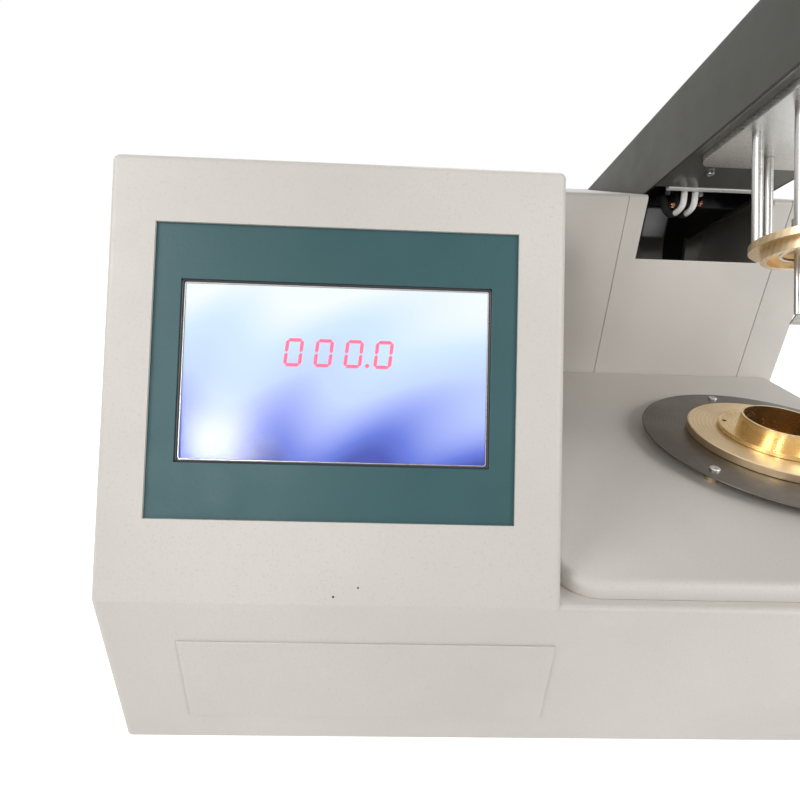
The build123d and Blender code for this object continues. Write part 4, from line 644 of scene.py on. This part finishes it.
def tube(line, radius, steps=20):
    """Round tube along a line: line + r (cos a . side + sin a . over), rounded and closed at both ends."""
    aside = (0.31, 0.11, 0.09)
    rim, nose = 0.7 * radius, 0.3 * radius
    line = np.asarray(line, float)
    ahead = np.gradient(line, axis=0)
    ahead /= np.linalg.norm(ahead, axis=1, keepdims=True)
    side = np.cross(ahead, aside)
    side /= np.linalg.norm(side, axis=1, keepdims=True)
    over = np.cross(ahead, side)
    swell = np.concatenate([[0.0, rim], np.full(len(line), radius), [rim, 0.0]])
    shift = np.concatenate([[-nose, -nose], np.zeros(len(line)), [nose, nose]])
    line, side, over = (np.concatenate([a[:1], a[:1], a, a[-1:], a[-1:]]) for a in (line, side, over))
    line = line + np.cross(side, over) * shift[:, None]
    turn = np.linspace(0, 2 * math.pi, steps, endpoint=False)
    ring = np.cos(turn)[None, :, None] * side[:, None] + np.sin(turn)[None, :, None] * over[:, None]
    points = line[:, None] + swell[:, None, None] * ring
    return points.reshape(-1, 3), grid_faces(len(line), steps, wrap_columns=True)


def panel_points(u, v, w):
    """Points of the slanted panel for arrays of u, v and w."""
    return (np.array(PANEL_ORIGIN) + u[..., None] * np.array((1.0, 0.0, 0.0))
            + v[..., None] * np.array(PANEL_V) + w[..., None] * np.array(PANEL_W))


def face_of(node):
    """Height of a node's outermost point over the slanted panel's outer face."""
    mesh = frame["nodes"][node].data
    points = np.empty(len(mesh.vertices) * 3)
    mesh.vertices.foreach_get("co", points)
    return float(((points.reshape(-1, 3) - np.array(PANEL_ORIGIN)) @ np.array(PANEL_W)).max())


def panel_ring(u, v, radius, profile, height):
    """Ring round a rectangle: corner centre + (r + p)(cos a, sin a) at height + q, for a profile's (p, q)."""
    steps = 9
    turn = np.concatenate([np.linspace(k, k + 1, steps) for k in range(4)]) * math.pi / 2
    middle_u = np.repeat([u[1] - radius, u[0] + radius, u[0] + radius, u[1] - radius], steps)
    middle_v = np.repeat([v[1] - radius, v[1] - radius, v[0] + radius, v[0] + radius], steps)
    p, q = np.asarray(profile, float).T * MM
    reach = radius + p[None, :]
    along_u = middle_u[:, None] + np.cos(turn)[:, None] * reach
    along_v = middle_v[:, None] + np.sin(turn)[:, None] * reach
    points = panel_points(along_u, along_v, np.broadcast_to(height + q, along_u.shape))
    return points.reshape(-1, 3), grid_faces(len(turn), len(p), True, True)


def arm_points(places):
    """Places on the lowered arm, in millimetres from the cabinet's corner, turned up to the resting arm."""
    places = np.atleast_2d(np.asarray(places, float)) * MM
    place = places + np.array((CABINET_LOW.x, CABINET_LOW.y, 0.0)) - np.array(HINGE)
    turn = np.array(Matrix.Rotation(-TILT, 3, "X"))
    return place @ turn.T + np.array(HINGE)


def arm_way(x, y, z):
    """Direction on the lowered arm turned up to the arm at rest."""
    return Matrix.Rotation(-TILT, 3, "X") @ Vector((x, y, z))


# ------------------------------------------------------------------------------- stage
def camera_matrix(settings):
    """Camera's place and axes: forwards from yaw and pitch, then a roll about that line."""
    yaw, pitch, roll = settings.yaw, settings.pitch, settings.roll
    forward = Vector((math.sin(yaw) * math.cos(pitch), math.cos(yaw) * math.cos(pitch), -math.sin(pitch)))
    right = Vector((math.cos(yaw), -math.sin(yaw), 0))
    up = right.cross(forward)
    x_axis = right * math.cos(roll) + up * math.sin(roll)
    y_axis = up * math.cos(roll) - right * math.sin(roll)
    matrix = Matrix((x_axis, y_axis, -forward)).transposed().to_4x4()
    matrix.translation = Vector(settings.eye)
    return matrix


def lamp_place(target, azimuth, rise, distance):
    """Place at a distance from the target, turned to the right of the front and raised by degrees."""
    turn, lift = math.radians(azimuth), math.radians(rise)
    way = Vector((math.sin(turn) * math.cos(lift), -math.cos(turn) * math.cos(lift), math.sin(lift)))
    return Vector(target) + way * distance


def power_for(level, distance):
    """Power at which a lamp lights a white surface facing it to a level from 0 to 1."""
    return level * (math.pi * distance) ** 2


def area_lamp(name, place, target, size, power):
    """Soft square lamp at a place, facing a target."""
    data = bpy.data.lights.new(name, "AREA")
    data.shape = "SQUARE"
    data.size = size
    data.energy = power
    lamp = bpy.data.objects.new(name, data)
    bpy.context.scene.collection.objects.link(lamp)
    lamp.location = place
    lamp.rotation_mode = "QUATERNION"
    lamp.rotation_quaternion = (Vector(target) - Vector(place)).to_track_quat("-Z", "Y")


def paper_floor(settings):
    """Pale floor that keeps the shadow, near white to the camera, in gloss and through glass."""
    t = Tree("paper_floor")
    grain = t.noise(3.0, 4.0)
    tone = t.mix(grain, shade(settings.floor_colour, 0.985), tuple(settings.floor_colour))
    t.surface(Base_Color=tone, Roughness=0.9, Specular_IOR_Level=0.1)
    ray = t.node("ShaderNodeLightPath")
    seen = t.maths("MAXIMUM", ray.outputs["Is Camera Ray"],
                   t.maths("MAXIMUM", ray.outputs["Is Glossy Ray"], ray.outputs["Is Transmission Ray"]))
    return t.surface(Emission_Color=(1, 1, 1), Emission_Strength=t.maths("MULTIPLY", seen, 0.80))


def lay_floor(settings):
    """Flat square of floor under the tester."""
    reach = FLOOR_REACH
    points = [(-reach, -reach, 0), (reach, -reach, 0), (reach, reach, 0), (-reach, reach, 0)]
    mesh = bpy.data.meshes.new("floor")
    mesh.from_pydata(points, [], [(0, 1, 2, 3)])
    mesh.materials.append(paper_floor(settings))
    floor = bpy.data.objects.new("floor", mesh)
    bpy.context.scene.collection.objects.link(floor)


def light_room(settings):
    """World at the fill level, seen as white by the camera, in gloss and through glass."""
    world = bpy.data.worlds.new("room")
    world.use_nodes = True
    bpy.context.scene.world = world
    tree = world.node_tree
    back = tree.nodes["Background"]
    back.inputs["Color"].default_value = (1.0, 1.0, 1.0, 1.0)
    ray = tree.nodes.new("ShaderNodeLightPath")
    gloss = tree.nodes.new("ShaderNodeMath")
    seen = tree.nodes.new("ShaderNodeMath")
    for step, start in ((gloss, ray.outputs["Is Transmission Ray"]), (seen, gloss.outputs[0])):
        step.operation = "MAXIMUM"
        tree.links.new(start, step.inputs[1])
    tree.links.new(ray.outputs["Is Glossy Ray"], gloss.inputs[0])
    tree.links.new(ray.outputs["Is Camera Ray"], seen.inputs[0])
    level = tree.nodes.new("ShaderNodeMapRange")
    level.inputs["To Min"].default_value = settings.fill_level
    tree.links.new(seen.outputs[0], level.inputs["Value"])
    tree.links.new(level.outputs[0], back.inputs["Strength"])


def hang_lamps(settings):
    """Soft lamps round the tester, and a small one that the camera sees mirrored at the screen's glint."""
    for name, level, azimuth, rise, distance in LAMPS:
        place = lamp_place(LAMP_TARGET, azimuth, rise, distance)
        area_lamp(name, place, LAMP_TARGET, LAMP_SIZE, power_for(getattr(settings, level), distance))
    glint = on_panel(*GLINT)
    look = (Vector(settings.eye) - glint).normalized()
    mirrored = PANEL_W * (2 * look.dot(PANEL_W)) - look
    area_lamp("window_lamp", glint + mirrored * WINDOW_DISTANCE, glint, WINDOW_SIZE, settings.window_glow)


def set_camera(settings):
    """Camera in front of the tester's left part, looking down at it."""
    data = bpy.data.cameras.new("camera")
    data.lens = settings.lens
    data.sensor_width = 36.0
    data.clip_start = 0.01
    camera = bpy.data.objects.new("camera", data)
    bpy.context.scene.collection.objects.link(camera)
    camera.matrix_world = camera_matrix(settings)
    bpy.context.scene.camera = camera


class TESTER_OT_stage(bpy.types.Operator):
    """Set up the floor, the room light, the lamps and the camera"""

    bl_idname = "tester.stage"
    bl_label = "Stage"

    def execute(self, context):
        settings = context.scene.tester_stage
        context.scene.view_settings.view_transform = "Standard"
        lay_floor(settings)
        light_room(settings)
        hang_lamps(settings)
        set_camera(settings)
        return {"FINISHED"}


class TESTER_OT_finishes(bpy.types.Operator):
    """Give every piece of the frame its paint, metal, plastic or glass"""

    bl_idname = "tester.finishes"
    bl_label = "Finishes"

    def execute(self, context):
        for name, nodes in NODE_FINISH.items():
            for node in nodes:
                piece = frame["nodes"][node]
                piece.data.materials.clear()
                piece.data.materials.append(finish(name))
        return {"FINISHED"}


class TESTER_OT_edges(bpy.types.Operator):
    """Stand a copy with broken edges in for each sheet and casting seen from close by"""

    bl_idname = "tester.edges"
    bl_label = "Broken edges"

    def execute(self, context):
        settings = context.scene.tester_edges
        for width, nodes in ((settings.sheet, SHEETS), (settings.casting, CASTINGS)):
            for node in nodes:
                source = frame["nodes"][node]
                mesh = source.data.copy()
                mesh.name = node + "_edges"
                work = bmesh.new()
                work.from_mesh(mesh)
                bmesh.ops.remove_doubles(work, verts=work.verts, dist=JOIN_WITHIN)
                bmesh.ops.dissolve_limit(work, angle_limit=FLAT_WITHIN, verts=work.verts, edges=work.edges)
                work.to_mesh(mesh)
                work.free()
                mesh.shade_smooth()
                mesh.set_sharp_from_angle(angle=SMOOTH_WITHIN)
                piece = bpy.data.objects.new(node + "_edges", mesh)
                context.scene.collection.objects.link(piece)
                bevel = piece.modifiers.new("broken_edges", "BEVEL")
                bevel.width = width
                bevel.segments = 2
                bevel.limit_method = "ANGLE"
                bevel.angle_limit = ROUNDED_FROM
                bevel.harden_normals = True
                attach(piece, body_of(source)[0])
                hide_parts(node)
        return {"FINISHED"}


def segment(left, wide, digit, thick, start, end, height):
    """Lit stroke: a flat spindle along s from -1 to 1, (w cos a, h sin a) across, narrowed at each end."""
    a = np.array((left + wide * start[0], READING_V + digit * (start[1] - 0.5)))
    b = np.array((left + wide * end[0], READING_V + digit * (end[1] - 0.5)))
    run = b - a
    long = np.linalg.norm(run)
    run = run / long
    stations = np.array([-1.0, -0.98, -1 + thick / long, -0.4, 0.4, 1 - thick / long, 0.98, 1.0])
    s = stations * (1 - STROKE_GAP * thick / long)
    narrow = np.clip((1 - np.abs(s)) * long / thick, 0.0, 1.0) * thick / 2
    narrow[[0, -1]] = 0.0
    turn = np.linspace(0, 2 * math.pi, 12, endpoint=False)
    across = narrow[:, None] * np.cos(turn)
    up = (narrow[:, None] / (thick / 2)) * np.sin(turn) * STROKE_SWELL
    u = (a[0] + b[0]) / 2 + s[:, None] * long / 2 * run[0] - across * run[1]
    v = (a[1] + b[1]) / 2 + s[:, None] * long / 2 * run[1] + across * run[0]
    u = u + (v - READING_V) * SLANT
    points = panel_points(u, v, height + STROKE_LIFT + up)
    return points.reshape(-1, 3), grid_faces(len(s), len(turn), wrap_columns=True)


class TESTER_OT_reading(bpy.types.Operator):
    """Lit seven-segment reading in the middle of the screen"""

    bl_idname = "tester.reading"
    bl_label = "Reading"

    def execute(self, context):
        settings = context.scene.tester_screen
        digit = settings.digit_height
        wide, thick = digit * DIGIT_WIDTH, digit * STROKE_WIDTH
        height = face_of("lcd_panel")
        count = sum(c.isdigit() for c in settings.reading)
        left = READING_U - (settings.digit_pitch * (count - 1) + wide) / 2
        strokes = []
        place = -1
        for mark in settings.reading:
            if mark.isdigit():
                place += 1
                start = left + place * settings.digit_pitch
                strokes += [segment(start, wide, digit, thick, *SEGMENTS[k], height) for k in LIT[int(mark)]]
            else:
                spot = left + place * settings.digit_pitch + (wide + settings.digit_pitch) / 2
                drop = on_panel(spot - digit * POINT_LEFT, READING_V - digit * POINT_DOWN, height)
                strokes.append(aimed(lathe(POINT, 16), drop, PANEL_W))
        add_mesh("reading", merged(strokes), finish("digits"), "base")
        return {"FINISHED"}


class TESTER_OT_screen_trim(bpy.types.Operator):
    """Black rubber gasket round the screen's opening, partly painted shadow of the opening's edge, a bright
    liner, and chips in the panel's paint
    """

    bl_idname = "tester.screen_trim"
    bl_label = "Screen trim"

    def execute(self, context):
        face = face_of("lcd_frame")
        # Black ring: partly painted shadow at the edge of the opening
        gasket_shadow = panel_ring(OPENING_U, OPENING_V, GASKET_SHADOW_CORNER, GASKET_SHADOW, face)
        add_mesh("screen_gasket_shadow", gasket_shadow, finish("black"), "base")
        inner_u = (OPENING_U[0] + LINER_INSET, OPENING_U[1] - LINER_INSET)
        inner_v = (OPENING_V[0] + LINER_INSET, OPENING_V[1] - LINER_INSET)
        liner = panel_ring(inner_u, inner_v, LINER_CORNER, LINER, face)
        add_mesh("screen_liner", liner, finish("steel"), "base")
        chips = [aimed(lathe(np.array(CHIP) * size, 16), on_panel(u * MM, v * MM), PANEL_W)
                 for u, v, size in CHIPS]
        add_mesh("paint_chips", merged(chips), finish("rubber"), "base")
        return {"FINISHED"}


def hose_corners(bar, plate):
    """A hose's corners in millimetres on the lowered arm: from the bar down, round and up to the plate."""
    middle = (bar + plate) / 2
    return [(bar, 265, 274.8), (bar, 265, 252), (bar, 265, 230), (bar - 0.5, 269, 222.5),
            (middle, 282, 221.2), (plate, 289, 230), (plate, 291.5, 242), (plate, 297, 246.3),
            (plate, 311, 246.3)]


class TESTER_OT_hoses(bpy.types.Operator):
    """White gas hoses that drop behind the bar and run back in black sleeves to the cross plate"""

    bl_idname = "tester.hoses"
    bl_label = "Hoses"

    def execute(self, context):
        settings = context.scene.tester_hoses
        whites, sleeves = [], []
        for bar, plate in HOSE_ENDS:
            line = arm_points(smooth_line(hose_corners(bar, plate)))
            cut = int(len(line) * WHITE_SHARE)
            whites.append(tube(line[:cut], settings.radius))
            sleeves.append(tube(line[cut - SLEEVE_LAP:], settings.sleeve))
        hoses = add_mesh("gas_hose_pair", merged(whites), finish("white"), "arm")
        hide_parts("gas_hoses")
        add_mesh("hose_sleeves", merged(sleeves), finish("rubber"), "arm")
        return {"FINISHED"}


class TESTER_OT_arm_screws(bpy.types.Operator):
    """Screw caps and copper ferrules on the cross plate, and socket screws under the arm"""

    bl_idname = "tester.arm_screws"
    bl_label = "Arm screws"

    def execute(self, context):
        front = arm_way(0, -1, 0)
        down = arm_way(0, 0, -1)
        for name, profile, places, way, material, slot in (
                ("screw_caps", SCREW_CAP, SCREW_CAPS, front, "white", "white_plastic"),
                ("copper_ferrules", FERRULE, FERRULES, front, "copper", "brass"),
                ("socket_screws", SOCKET_SCREW, SOCKET_SCREWS, down, "steel", "sheet_steel")):
            screws = [aimed(lathe(profile), place, way) for place in arm_points(places)]
            add_mesh(name, merged(screws), finish(material), "arm")
        return {"FINISHED"}


CLASSES = (StageSettings, PaintSettings, ScreenSettings, EdgeSettings, HoseSettings, TESTER_OT_stage,
           TESTER_OT_finishes, TESTER_OT_edges, TESTER_OT_reading, TESTER_OT_screen_trim, TESTER_OT_hoses,
           TESTER_OT_arm_screws)
STEPS = ("stage", "finishes", "edges", "reading", "screen_trim", "hoses", "arm_screws")


class TESTER_PT_panel(bpy.types.Panel):
    """Buttons that make the tester's pieces, in order"""

    bl_idname = "TESTER_PT_panel"
    bl_label = "Flash Point Tester"
    bl_space_type = "VIEW_3D"
    bl_region_type = "UI"
    bl_category = "Tester"

    def draw(self, context):
        for step in STEPS:
            self.layout.operator("tester." + step)


def register():
    """Register the classes and hang the settings on the scene."""
    for item in CLASSES + (TESTER_PT_panel,):
        bpy.utils.register_class(item)
    bpy.types.Scene.tester_stage = bpy.props.PointerProperty(type=StageSettings)
    bpy.types.Scene.tester_paint = bpy.props.PointerProperty(type=PaintSettings)
    bpy.types.Scene.tester_screen = bpy.props.PointerProperty(type=ScreenSettings)
    bpy.types.Scene.tester_edges = bpy.props.PointerProperty(type=EdgeSettings)
    bpy.types.Scene.tester_hoses = bpy.props.PointerProperty(type=HoseSettings)


def unregister():
    """Take the settings and the classes away again."""
    del bpy.types.Scene.tester_hoses
    del bpy.types.Scene.tester_edges
    del bpy.types.Scene.tester_screen
    del bpy.types.Scene.tester_paint
    del bpy.types.Scene.tester_stage
    for item in reversed(CLASSES + (TESTER_PT_panel,)):
        bpy.utils.unregister_class(item)


def main():
    """Register the classes and make every piece, in order."""
    register()
    for step in STEPS:
        getattr(bpy.ops.tester, step)()


if __name__ == "__main__":
    main()
